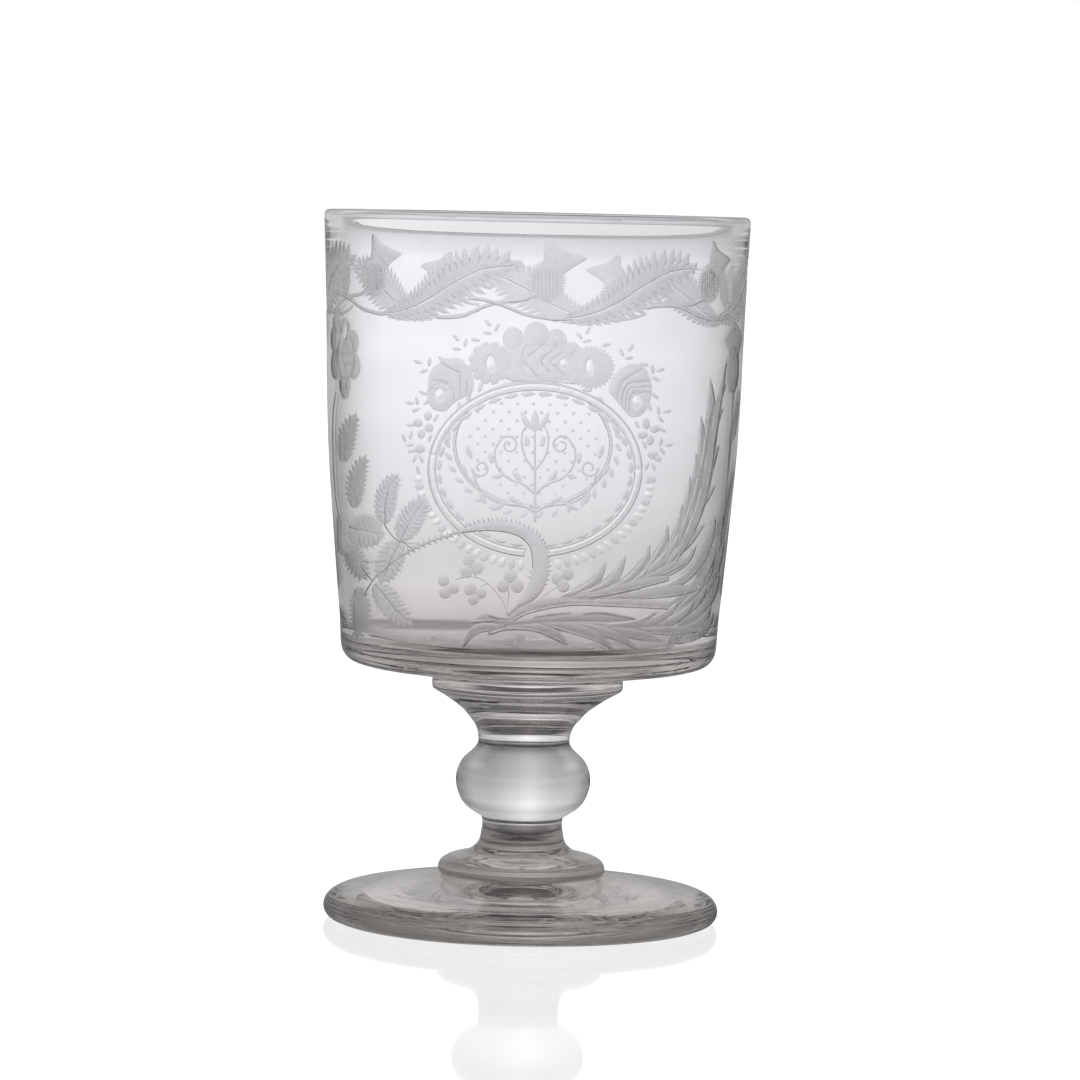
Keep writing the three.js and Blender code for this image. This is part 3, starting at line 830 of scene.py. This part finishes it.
# the side of the lower frond that turns round the bowl, then the lower frond, then the main one over it
for k in range(9):
    s0, z0 = 34.0 + 1.9 * k, 60.5 + 0.9 * k
    mid = [(s0, z0), (s0 + 5.5, z0 + 6.0 + 0.6 * k), (s0 + 9.0, z0 + 13.0 + 1.1 * k), (s0 + 11.0 + 0.2 * k, z0 + 20.5 + 1.5 * k)]
    poly, m = blade(mid, 2.9, 0.4, step=1.0)
    cut(poly, "scoop", 0.24, 0.8, m, mat=FROND, drawn=False)
    # a dark line of painted shadow along one edge of each leaflet
    edge = (smooth(mid, 1.0) - side_normals(smooth(mid, 1.0)) * 0.9)[2:-3]
    cut(stroke(list(edge[::2]), 0.24, 0.18, step=1.0), "line", 0.22, 0.14, mat=LINE, drawn=False)
for pts, w in (([(664, 590), (684, 578), (700, 560), (710, 540), (716, 516)], 8), ([(668, 606), (690, 592), (706, 575), (716, 552), (723, 528)], 8),
               ([(680, 612), (700, 597), (712, 578), (720, 556), (725, 534)], 7), ([(688, 620), (704, 607), (714, 590), (720, 570)], 7)):
    leaflet(pts, w)
for pts, w in (([(690, 600), (706, 575), (716, 550), (722, 524)], 7), ([(676, 614), (696, 594), (709, 572), (716, 552)], 8), ([(664, 624), (684, 612), (700, 598), (708, 582)], 8),
               ([(646, 628), (668, 622), (686, 611), (697, 596)], 8), ([(630, 627), (652, 621), (670, 611), (681, 599)], 8), ([(606, 627), (630, 624), (646, 618), (658, 611)], 7),
               ([(700, 585), (711, 560), (719, 535), (725, 512)], 6), ([(672, 632), (690, 628), (704, 618), (712, 604)], 8), ([(684, 640), (698, 634), (708, 624), (714, 612)], 7)):
    leaflet(pts, w)
frond([(640, 627), (665, 626), (685, 626), (699, 629)], [(640, 633), (665, 635), (685, 635), (699, 633)], [(650, 633.5), (670, 634.5), (696, 632.5)])
frond([(600, 626), (630, 628), (650, 633), (662, 640)], [(598, 631), (622, 637), (642, 641), (662, 642)], [(628, 637), (637, 638.5), (648, 640)])
frond([(572, 622), (600, 626), (622, 634), (640, 650)], [(570, 628), (590, 632), (612, 640), (637, 650)], [(585, 630), (608, 636.5), (626, 643.5), (636, 649)])
frond([(536, 619), (565, 621), (590, 628), (604, 636), (614, 650)], [(534, 625), (556, 629), (580, 636), (600, 643), (612, 651)], [(548, 626), (568, 632), (588, 638), (608, 645.5)])
frond([(488, 631), (504, 624), (528, 622), (548, 626), (562, 634), (569, 644)], [(488, 636), (504, 631), (524, 630.5), (540, 633.5), (554, 640), (567, 646)], [(490, 634), (504, 630), (524, 629.5), (540, 632.5), (554, 638.5), (564, 643)])
frond([(505, 621), (534, 616.5), (552, 613.5), (570, 612), (590, 612), (612, 613), (637, 618)], [(505, 626), (530, 624), (560, 622), (590, 621.5), (615, 622), (637, 620)], [(534, 617.5), (552, 614.5), (570, 613)])
groove([(583, 614), (600, 613), (616, 615), (635, 619)], 1.5, 0.5)
for pts, w in (([(560, 599), (580, 592), (593, 583), (601, 572), (606.5, 561)], 9), ([(575, 599), (600, 590), (613, 579), (620, 568), (626, 555.5)], 10), ([(598, 597), (625, 585), (639, 571), (646, 558), (650, 544.5)], 11),
               ([(625, 591), (645, 577), (657, 560), (664, 544), (668, 524.5)], 11), ([(648, 575), (667, 556), (676, 540), (681, 522), (682.7, 502.5)], 10), ([(666, 560), (682, 537), (688, 516), (690, 495), (690, 475.5)], 10),
               ([(680, 540), (692, 514), (697, 490), (697, 471), (696, 452.5)], 10), ([(692, 515), (700, 487), (703.5, 460), (702.5, 437), (701, 415.5)], 9.5), ([(701, 484), (707.5, 452), (711, 421), (711.5, 398), (710.5, 377)], 9)):
    leaflet(pts, w, side=-1)
for pts, w in (([(708, 455), (714, 424), (719, 402), (726.5, 382)], 5.5), ([(704, 477), (711, 447), (716, 425), (723.5, 406)], 6), ([(700, 498), (708, 474), (713, 459), (719.5, 444)], 7),
               ([(690, 524), (700, 505), (708, 494), (716, 484)], 8), ([(674, 556), (686, 543), (696, 532), (706, 523)], 8), ([(655, 578), (672, 569), (686, 560), (697, 545)], 8)):
    leaflet(pts, w, side=-1)
leaflet([(668, 565), (684, 543), (697, 515), (705, 487), (710, 456), (714, 430), (719, 402), (723, 381), (727.3, 357)], 7.5, side=-1)
frond([(616, 588), (640, 578), (658, 569), (672, 562), (685, 560)], [(618, 594), (642, 584), (660, 577), (674, 570.5), (685, 564)], [(650, 579), (664, 574.5), (684, 564.5)])
frond([(604, 598), (630, 592), (655, 587), (680, 585), (697, 587)], [(604, 603), (630, 600), (655, 598.5), (680, 596), (697, 592)], [(648, 598.5), (670, 596.5), (695, 591.5)])
frond([(560, 598), (585, 593), (610, 587), (635, 580), (655, 576), (669, 576)], [(562, 602), (588, 598), (610, 595), (630, 591), (650, 586), (669, 581)], [(588, 597.5), (610, 594.5), (630, 590.5), (650, 585.5), (667, 580.5)])
frond([(470, 621), (477, 616), (484, 612.5), (492, 615), (506, 617), (520, 607), (538, 599.5), (558, 597.5), (588, 599.5), (620, 598.5), (645, 599.5), (668, 601)],
      [(470, 623.5), (484, 622), (495, 622), (503, 626.5), (516, 619.5), (530, 613.5), (545, 609.5), (560, 606.8), (580, 605.4), (600, 606.2), (630, 607.4), (669, 609.4)],
      [(500, 628), (514, 620.2), (528, 613.6), (544, 609.4), (560, 606.5), (580, 605), (600, 605.8), (630, 607), (668, 609)])
frond([(463, 645), (467, 634), (473, 626), (481, 623), (500, 624)], [(464, 648), (471, 639), (480, 633), (490, 631), (501, 628)], [(463, 647), (470, 638.5), (479, 632.5), (490, 630)])
groove([(472, 622), (484, 621.5), (494, 621)], 1.4, 0.45)
groove([(488, 615), (497, 618), (508, 618.6)], 1.4, 0.42)

# ---- thistle on the right edge
TH_S, TH_Z = to_wall([(734, 371)])[0]
local = lambda pts: np.array([(TH_S + x, TH_Z + y) for x, y in pts])
cut(local([(-0.7, -4.0), (0.7, -4.0), (1.1, -16), (1.0, -28), (-0.2, -38), (-1.6, -44), (-2.7, -44), (-1.7, -38), (-0.6, -28), (-0.5, -16)]), "line", 0.14, 0.5, drawn=False)
# the stalk's two edges as dark lines of painted shadow
for pts in ([(-0.8, -4.2), (-0.6, -16), (-0.7, -28), (-1.8, -38)], [(0.8, -4.2), (1.2, -16), (1.1, -28), (-0.1, -38)]):
    cut(stroke(list(local(pts)), 0.22, step=1.0), "line", 0.2, 0.1, mat=LINE, drawn=False)
cut(local([(-3.2, 3.0), (-4.8, 4.9), (-6.8, 6.6), (-4.6, 8.0), (-2.4, 9.2), (-0.8, 10.6), (1.4, 9.4), (4.0, 8.4), (6.6, 6.9), (4.6, 4.8), (3.2, 3.0)]), "fan", 0.26, 1.6,
    local([(0, -1.0), (0, -0.8)]), mat=FROND, drawn=False)
cut(oval(TH_S, TH_Z, 4.5, 4.7, 0, 30, 32, 0.12, True), "scale", 0.2, 1.2, mat=FROND, drawn=False)
poly, m, _ = toothed([(TH_S + 0.6, TH_Z - 15), (TH_S + 4, TH_Z - 12.5), (TH_S + 6.4, TH_Z - 7.5), (TH_S + 7.2, TH_Z - 2.5)], ([0, .3, .7, 1], [0.4, 1.9, 1.6, 0.2]),
                  ([0, .3, .7, 1], [0.4, 1.9, 1.6, 0.2]), 7, 7, 0.4, step=0.5)
cut(poly, "leaf", 0.24, 1.0, m, mat=FROND, drawn=False)

# ---- inside the ring: a light scrolling spray, the same on both sides of the middle
def curl(cx, cy, r0, r1, a0, sweep, sgn):
    t = np.linspace(0, 1, 26)
    ang = np.radians(a0 + sweep * t)
    r = r0 + (r1 - r0) * t
    return [(cx + sgn * (r[i] * math.cos(ang[i])), cy + r[i] * math.sin(ang[i])) for i in range(26)]


def hair(pts, w0=1.9, w1=1.2):
    cut(stroke(pts, w0 * 1.35, w1 * 1.35, step=3.0), "line", 0.12, 0.3)


hair([(535, 522), (535, 505), (535, 480), (535, 455), (535, 430)], 2.2, 1.4)
for sgn in (-1, 1):
    hair([(535, 512), (535 + sgn * 14, 505), (535 + sgn * 30, 504), (535 + sgn * 46, 498), (535 + sgn * 58, 484), (535 + sgn * 63, 468)] , 2.2, 1.6)
    hair(curl(589, 468, 9, 3.0, 0, 430, 1) if sgn > 0 else [(1070 - x, y) for x, y in curl(589, 468, 9, 3.0, 0, 430, 1)])
    hair([(535, 494), (535 + sgn * 12, 484), (535 + sgn * 27, 478), (535 + sgn * 38, 466), (535 + sgn * 40, 450), (535 + sgn * 33, 438)], 2.0, 1.5)
    hair(curl(561, 445, 9.5, 3.0, -48, -420, 1) if sgn > 0 else [(1070 - x, y) for x, y in curl(561, 445, 9.5, 3.0, -48, -420, 1)])
    hair([(535, 470), (535 + sgn * 8, 460), (535 + sgn * 13, 446), (535 + sgn * 12, 431), (535 + sgn * 5, 421)], 1.8, 1.2)
    for (x, y, rot, ln) in [(20, 500.5, -30, 8), (37, 507, 25, 7), (52, 498, -65, 7), (18, 476, -50, 7), (36, 476, 20, 6), (44, 458, -80, 6), (66, 452, -70, 7), (71, 470, -60, 6), (8, 441, -80, 6)]:
        cut(oval(535 + sgn * x, y, ln, 2.6, rot * sgn, 14), "bulb", 0.20, 0.5)
cut(blade([(535, 432), (535, 421), (535, 409)], 8, 0.45, 0.3)[0], "scoop", 0.2, 0.7)
for sgn in (-1, 1):
    cut(blade([(535 + sgn * 2, 430), (535 + sgn * 9, 422), (535 + sgn * 14, 411)], 6, 0.45, 0.3)[0], "scoop", 0.2, 0.6)

# ---- back of the bowl: a plain panel of dots in rows, in a ring of dashes
BACK = math.pi * RREF
PANEL_W, PANEL_H, PANEL_Z, MESH = 17.0, 12.5, 99.0, 3.6


def back(pts, *a, **k):
    cut(np.array([(BACK + x, PANEL_Z + z) for x, z in pts]), *a, drawn=False, **k)


ring_out = oval(0, 0, PANEL_W + 1.6, PANEL_H + 1.6, 0, 72)
ring_in = oval(0, 0, PANEL_W + 0.7, PANEL_H + 0.7, 0, 72)
for k in range(4):
    i = np.arange(k * 18, k * 18 + 19) % 72
    back(np.vstack([ring_out[i], ring_in[i][::-1]]), "line", 0.18, 0.4)
for i in range(-9, 10):
    for j in range(-7, 8):
        x, z = (i + j) * MESH / 2 + 0.0, (i - j) * MESH / 2 + MESH / 2
        if (x / (PANEL_W - 0.8)) ** 2 + (z / (PANEL_H - 0.8)) ** 2 < 1 and abs(i) < 12:
            back(oval(x, z, 0.42, 0.42, 0, 9), "bulb", 0.14, 0.4)
for k in range(34):
    a = 2 * math.pi * k / 34
    back(oval((PANEL_W + 3.0) * math.cos(a), (PANEL_H + 3.0) * math.sin(a), 1.15, 0.55, math.degrees(a) + 55, 12), "bulb", 0.2, 0.5)


# ------------------------------------------------------------------ meshing the engraved wall
def inside(poly, pts):
    x, y = pts[:, 0], pts[:, 1]
    c = np.zeros(len(pts), bool)
    for (x0, y0), (x1, y1) in zip(poly, np.roll(poly, -1, 0)):
        if y0 == y1:
            continue
        hit = ((y0 > y) != (y1 > y)) & (x < (x1 - x0) * (y - y0) / (y1 - y0) + x0)
        c ^= hit
    return c


def line_dist(line, pts, closed):
    a = line if closed else line[:-1]
    b = np.roll(line, -1, 0) if closed else line[1:]
    d = b - a
    l2 = np.maximum((d ** 2).sum(1), 1e-12)
    best = np.full(len(pts), 1e9)
    where = np.zeros(len(pts))
    for i in range(len(a)):
        t = np.clip(((pts - a[i]) @ d[i]) / l2[i], 0, 1)
        q = np.hypot(pts[:, 0] - a[i, 0] - t * d[i, 0], pts[:, 1] - a[i, 1] - t * d[i, 1])
        less = q < best
        best[less] = q[less]
        where[less] = i + t[less]
    return best, where


def sunk(c, pts):
    """Depth of a cut below the wall at points inside it."""
    u, _ = line_dist(c["poly"], pts, True)
    w = c["width"]
    d = c["depth"]
    x = np.clip(u / max(w, 1e-6), 0, 1)
    bowl_shape = 1 - (1 - x) ** 2
    if c["kind"] == "line":
        return d * np.clip(0.30 + 0.7 * u / max(w * 0.5, 1e-6), 0, 1)
    if c["kind"] == "scale":
        o = c["poly"].mean(0)
        a, b = (pts[:, 0] - o[0]) / 0.95, (pts[:, 1] - o[1]) / 1.25
        return d * (0.45 + 0.55 * np.clip(u / 0.4, 0, 1)) + 0.022 * np.cos(np.pi * (a + b)) * np.cos(np.pi * (a - b)) * np.clip(u / 0.5, 0, 1)
    if c["kind"] == "flat":
        return d * (0.5 + 0.5 * np.clip(u / 0.3, 0, 1))
    if c["kind"] == "leaf":
        m, at = line_dist(c["rib"], pts, False)
        seg = np.linalg.norm(np.diff(c["rib"], axis=0), axis=1)
        s = np.interp(at, np.arange(len(c["rib"])), np.concatenate([[0], np.cumsum(seg)]))
        veins = np.sin(2 * np.pi * (s - 0.75 * m) / 1.55)
        return d * (0.3 + 0.7 * bowl_shape) * (1 - 0.35 * np.exp(-(m / 0.6) ** 2)) + 0.032 * veins * np.clip(u / 0.4, 0, 1)
    if c["kind"] == "fan":
        o = c["rib"][0]
        ang = np.arctan2(pts[:, 0] - o[0], pts[:, 1] - o[1])
        return d * (0.45 + 0.55 * bowl_shape) + 0.026 * np.sin(ang * 58) * np.clip(u / 0.3, 0, 1)
    return d * (0.26 + 0.74 * bowl_shape)


def engraved_wall(shell, seg):
    pts, edges = [], []

    def put(loop, closed):
        n0 = len(pts)
        pts.extend(map(tuple, loop))
        k = len(loop)
        edges.extend((n0 + i, n0 + i + 1) for i in range(k - 1))
        if closed:
            edges.append((n0 + k - 1, n0))

    half = LAP / 2
    ring = -half + LAP * np.arange(seg + 1) / seg
    seam = np.linspace(ZLO, ZHI, 50)
    put(np.stack([ring, np.full(seg + 1, ZLO)], -1), False)
    put(np.stack([ring, np.full(seg + 1, ZHI)], -1), False)
    put(np.stack([np.full(50, -half), seam], -1), False)
    put(np.stack([np.full(50, half), seam], -1), False)
    cuts = []
    for c in CUTS:
        lo, hi = c["poly"][:, 0].min(), c["poly"][:, 0].max()
        for off in (-LAP, 0.0, LAP):
            if hi + off > -half - 1 and lo + off < half + 1:
                cuts.append(dict(c, poly=c["poly"] + [off, 0], rib=None if c["rib"] is None else c["rib"] + [off, 0]))
    h = 0.55
    lattice = {}
    for c in cuts:
        poly = c["poly"]
        put(poly, True)
        lo, hi = poly.min(0), poly.max(0)
        if min(hi - lo) < 0.6:
            continue
        j = np.arange(int(lo[1] / (h * 0.866)), int(hi[1] / (h * 0.866)) + 2)
        i = np.arange(int(math.floor(lo[0] / h)) - 1, int(math.ceil(hi[0] / h)) + 2)
        gi, gj = [a.ravel() for a in np.meshgrid(i, j)]
        g = np.stack([(gi + 0.5 * (gj % 2)) * h, gj * h * 0.866], -1)
        ok = inside(poly, g)
        gi, gj, g = gi[ok], gj[ok], g[ok]
        if len(g):
            dist, _ = line_dist(poly, g, True)
            ok = dist > 0.2
            for key, p in zip(zip(gi[ok].tolist(), gj[ok].tolist()), g[ok]):
                lattice[key] = p
        # a second line just inside the edge gives each cut its steep wall
        t = np.roll(poly, -1, 0) - np.roll(poly, 1, 0)
        t /= np.maximum(np.linalg.norm(t, axis=1, keepdims=True), 1e-9)
        area = 0.5 * np.sum(poly[:, 0] * np.roll(poly[:, 1], -1) - np.roll(poly[:, 0], -1) * poly[:, 1])
        q = poly + np.stack([-t[:, 1], t[:, 0]], -1) * (0.14 if area > 0 else -0.14)
        ok = inside(poly, q)
        dist, _ = line_dist(poly, q[ok], True)
        pts.extend(map(tuple, q[ok][dist > 0.09]))
    pts.extend(map(tuple, lattice.values()))
    H = 1.25
    gj = np.arange(int(ZLO / (H * 0.866)), int(ZHI / (H * 0.866)) + 2)
    gi = np.arange(int(-half / H) - 1, int(half / H) + 2)
    a, b = [k.ravel() for k in np.meshgrid(gi, gj)]
    g = np.stack([(a + 0.5 * (b % 2)) * H, b * H * 0.866], -1)
    g = g[(np.abs(g[:, 0]) < half - 0.8) & (g[:, 1] > ZLO + 0.7) & (g[:, 1] < ZHI - 0.7)]
    for c in cuts:
        lo, hi = c["poly"].min(0) - 0.3, c["poly"].max(0) + 0.3
        near = np.where(((g > lo) & (g < hi)).all(1))[0]
        if len(near):
            bad = inside(c["poly"], g[near]) | (line_dist(c["poly"], g[near], True)[0] < 0.35)
            g = np.delete(g, near[bad], 0)
    pts.extend(map(tuple, g))
    p = np.array(pts)
    v, _, tri, *_ = delaunay_2d_cdt([Vector(q) for q in p], edges, [], 0, 1e-5)
    v = np.array([tuple(q) for q in v])
    tri = np.array([t for t in tri if len(t) == 3])
    mid = v[tri].mean(1)
    ok = (np.abs(mid[:, 0]) < half) & (mid[:, 1] > ZLO) & (mid[:, 1] < ZHI)
    area = (v[tri[:, 1]] - v[tri[:, 0]])
    area2 = (v[tri[:, 2]] - v[tri[:, 0]])
    cr = area[:, 0] * area2[:, 1] - area[:, 1] * area2[:, 0]
    tri, mid, cr = tri[ok], mid[ok], cr[ok]
    tri[cr < 0] = tri[cr < 0][:, ::-1]
    owner = np.full(len(tri), -1)
    for k, c in enumerate(cuts):
        lo, hi = c["poly"].min(0), c["poly"].max(0)
        near = np.where(((mid > lo) & (mid < hi)).all(1))[0]
        if len(near):
            owner[near[inside(c["poly"], mid[near])]] = k
    top = np.full(len(v), -1)
    np.maximum.at(top, tri.ravel(), np.repeat(owner, 3))
    touch = np.zeros(len(v), bool)
    touch[tri[owner < 0].ravel()] = True
    top[touch] = -1
    depth = np.zeros(len(v))
    for k, c in enumerate(cuts):
        idx = np.where(top == k)[0]
        if len(idx):
            depth[idx] = sunk(c, v[idx])
    th = v[:, 0] / RREF
    r = wall_r(v[:, 1])
    slope = (wall_r(v[:, 1] + 0.2) - wall_r(v[:, 1] - 0.2)) / 0.4
    nz = -slope / np.hypot(1, slope)
    nr = 1 / np.hypot(1, slope)
    rr, zz = r - depth * nr, v[:, 1] - depth * nz
    pos = np.stack([rr * np.sin(th), -rr * np.cos(th), zz], -1)
    flat = np.stack([nr * np.sin(th), -nr * np.cos(th), nz], -1)
    # engraved faces shade by their own slope, the polished wall by the turned surface
    fn = np.cross(pos[tri[:, 1]] - pos[tri[:, 0]], pos[tri[:, 2]] - pos[tri[:, 0]])
    rough = np.zeros_like(pos)
    cutf = owner >= 0
    for i in range(3):
        np.add.at(rough, tri[cutf, i], fn[cutf])
    rough /= np.maximum(np.linalg.norm(rough, axis=1, keepdims=True), 1e-9)
    kind = np.array([c["mat"] for c in cuts] + [POLISH])
    mats = kind[owner]
    norms = np.where(cutf[:, None, None], rough[tri], flat[tri])
    shell.add(pos, tri, mats, norms)
    print("engraved wall", len(v), "points", len(tri), "faces", int(cutf.sum()), "cut", len(cuts), "cuts")


bowl = Shell()
SEG = 240
disc(bowl, 19.2, 52.2, False, SEG)
under = WALL[WALL[:, 1] < ZLO - 0.05]
lip = WALL[WALL[:, 1] > ZHI + 0.05]
turn(bowl, np.vstack([under, [[wall_r(ZLO), ZLO]]]), SEG, 0, ripple(0.008, 11, [1.0, 1.7]))
engraved_wall(bowl, SEG)
turn(bowl, np.vstack([[[wall_r(ZHI), ZHI]], lip, smooth(BOWL_IN, 0.8)[1:]]), SEG, 0)
turn(bowl, smooth(BOWL_FLOOR, 0.7), SEG, 0, ripple(0.009, 12, [1.7, 3.1]))
finish_piece(bowl.build("visual_bowl", [M_BOWL, M_JOIN, M_MATTE, M_LINE_SHADOW, M_LEAF_SHADE, M_FROND_SHADE]), "bowl")


# ------------------------------------------------------------------ studio
def math_node(nt, op, a, b=None):
    n = node(nt, "ShaderNodeMath", operation=op)
    for i, v in enumerate((a, b)):
        if v is None:
            continue
        if isinstance(v, (int, float)):
            n.inputs[i].default_value = v
        else:
            nt.links.new(v, n.inputs[i])
    return n.outputs[0]


def make_floor():
    """A white sweep: bright to the eye, with a soft pool of shade round the foot in what the glass gathers."""
    me = bpy.data.meshes.new("floor")
    n, rad = 96, 8.0
    ring = [(rad * math.cos(2 * math.pi * i / n), rad * math.sin(2 * math.pi * i / n), 0.0) for i in range(n)]
    me.from_pydata(ring, [], [list(range(n))])
    obj = bpy.data.objects.new("floor", me)
    bpy.context.scene.collection.objects.link(obj)
    obj.location.z = -0.00005
    m = bpy.data.materials.new("pale_floor")
    m.use_nodes = True
    nt = m.node_tree
    nt.nodes.clear()
    out = node(nt, "ShaderNodeOutputMaterial")
    seen = node(nt, "ShaderNodeEmission")
    seen.inputs["Strength"].default_value = FLOOR_SEEN
    grain = ramp(nt, noise(nt, 4.0), [(0.3, (0.99, 0.99, 0.99)), (0.7, (1.0, 1.0, 1.0))])
    nt.links.new(grain, seen.inputs["Color"])
    gloss = node(nt, "ShaderNodeBsdfGlossy")
    gloss.inputs["Roughness"].default_value = 0.06
    fr = node(nt, "ShaderNodeFresnel")
    fr.inputs["IOR"].default_value = 1.45
    mixed = node(nt, "ShaderNodeMixShader")
    nt.links.new(math_node(nt, "MINIMUM", fr.outputs[0], 0.30), mixed.inputs[0])
    nt.links.new(seen.outputs[0], mixed.inputs[1])
    nt.links.new(gloss.outputs[0], mixed.inputs[2])
    gathered = node(nt, "ShaderNodeBsdfTransparent")
    lp = node(nt, "ShaderNodeLightPath")
    pick = node(nt, "ShaderNodeMixShader")
    nt.links.new(lp.outputs["Is Camera Ray"], pick.inputs[0])
    nt.links.new(gathered.outputs[0], pick.inputs[1])
    nt.links.new(mixed.outputs[0], pick.inputs[2])
    nt.links.new(pick.outputs[0], out.inputs["Surface"])
    me.materials.append(m)


def make_world():
    """A soft round of light, brightest in a wide pool behind the glass and dim straight above and below; the backdrop
    itself reads white, and mirrored light is held back as a photographer's black flags do."""
    w = bpy.data.worlds.new("studio")
    bpy.context.scene.world = w
    w.use_nodes = True
    nt = w.node_tree
    nt.nodes.clear()
    out = node(nt, "ShaderNodeOutputWorld")
    bg = node(nt, "ShaderNodeBackground")
    tc = node(nt, "ShaderNodeTexCoord")
    sp = node(nt, "ShaderNodeSeparateXYZ")
    nt.links.new(tc.outputs["Generated"], sp.inputs[0])
    phi = math_node(nt, "ARCTAN2", sp.outputs["X"], sp.outputs["Y"])
    turned = span(nt, math_node(nt, "ABSOLUTE", phi), 0.0, 1.0, 0.0, math.pi)
    round_it = ramp(nt, turned, AROUND)
    across = ramp(nt, span(nt, phi, 0.0, 1.0, -0.14, 0.14), ACROSS)
    level = span(nt, sp.outputs["Z"], 0.0, 1.0, -1.0, 1.0)
    lifted = math_node(nt, "MULTIPLY", ramp(nt, turned, SIDES), ramp(nt, level, LOW))
    height = math_node(nt, "MULTIPLY", ramp(nt, level, HEIGHTS), math_node(nt, "ADD", math_node(nt, "MULTIPLY", lifted, LIFT), 1.0))
    lp = node(nt, "ShaderNodeLightPath")
    sharp = math_node(nt, "MULTIPLY", lp.outputs["Is Reflection Ray"], lp.outputs["Is Singular Ray"])
    soft = math_node(nt, "SUBTRACT", lp.outputs["Is Reflection Ray"], sharp)
    flag = math_node(nt, "MULTIPLY", span(nt, sharp, 1.0, MIRRORED, 0.0, 1.0), span(nt, soft, 1.0, SHEEN, 0.0, 1.0))
    tone = math_node(nt, "MULTIPLY", math_node(nt, "MULTIPLY", round_it, height), math_node(nt, "MULTIPLY", across, flag))
    mx = node(nt, "ShaderNodeMix", data_type="FLOAT")
    nt.links.new(lp.outputs["Is Camera Ray"], mx.inputs["Factor"])
    nt.links.new(tone, mx.inputs["A"])
    mx.inputs["B"].default_value = 1.03
    nt.links.new(mx.outputs["Result"], bg.inputs["Color"])
    nt.links.new(bg.outputs[0], out.inputs["Surface"])


def by_height(stops):
    """Stops given in degrees above the horizon."""
    return grey([((math.sin(math.radians(d)) + 1) / 2, v) for d, v in stops])


def grey(stops):
    return [(p, (v, v, v)) for p, v in stops]


FLOOR_SEEN = 1.14
MIRRORED = 0.4
SHEEN = 1.6
AROUND = grey([(0.0, 1.0), (0.033, 0.96), (0.067, 0.85), (0.10, 0.75), (0.14, 0.71), (0.28, 0.72), (0.42, 0.79), (1.0, 0.82)])
# the sweep is lit brighter away from the middle of the backdrop
SIDES = grey([(0.0, 0.0), (0.14, 0.0), (0.21, 1.0), (1.0, 1.0)])
LOW = by_height([(-90, 3.0), (-75, 3.6), (-60, 2.6), (-45, 1.4), (-35, 1.0), (-13, 1.0), (-6, 0.0), (90, 0.0)])
LIFT = 0.6
ACROSS = grey([(0.0, 1.06), (0.25, 1.06), (0.75, 0.90), (1.0, 0.89)])
# brightness by height of the direction: a grey sweep below, the lit tent above, dark overhead and underfoot
HEIGHTS = by_height([(-90, 0.12), (-60, 0.16), (-45, 0.34), (-35, 0.66), (-25, 0.80), (-19, 0.74), (-14, 0.70), (-10, 0.71), (-7, 0.75), (-5, 0.81), (-4, 0.88), (-3, 0.99), (-2.2, 1.05),
                     (-1.2, 1.07), (0, 1.06), (2, 1.04), (4, 1.04), (6, 1.06), (9, 1.08), (14, 1.15), (21, 1.17), (28, 1.09), (35, 0.84), (45, 0.42), (60, 0.22), (75, 0.30), (90, 0.5)])


make_floor()
make_world()
make_camera()

sc = bpy.context.scene
sc.view_settings.view_transform = "Standard"
sc.view_settings.look = "None"
sc.cycles.max_bounces = 56
sc.cycles.transmission_bounces = 32
sc.cycles.glossy_bounces = 13
sc.cycles.diffuse_bounces = 6
sc.cycles.transparent_max_bounces = 40
sc.cycles.caustics_refractive = True
sc.cycles.caustics_reflective = True
sc.cycles.use_denoising = True
sc.cycles.denoising_input_passes = "RGB"
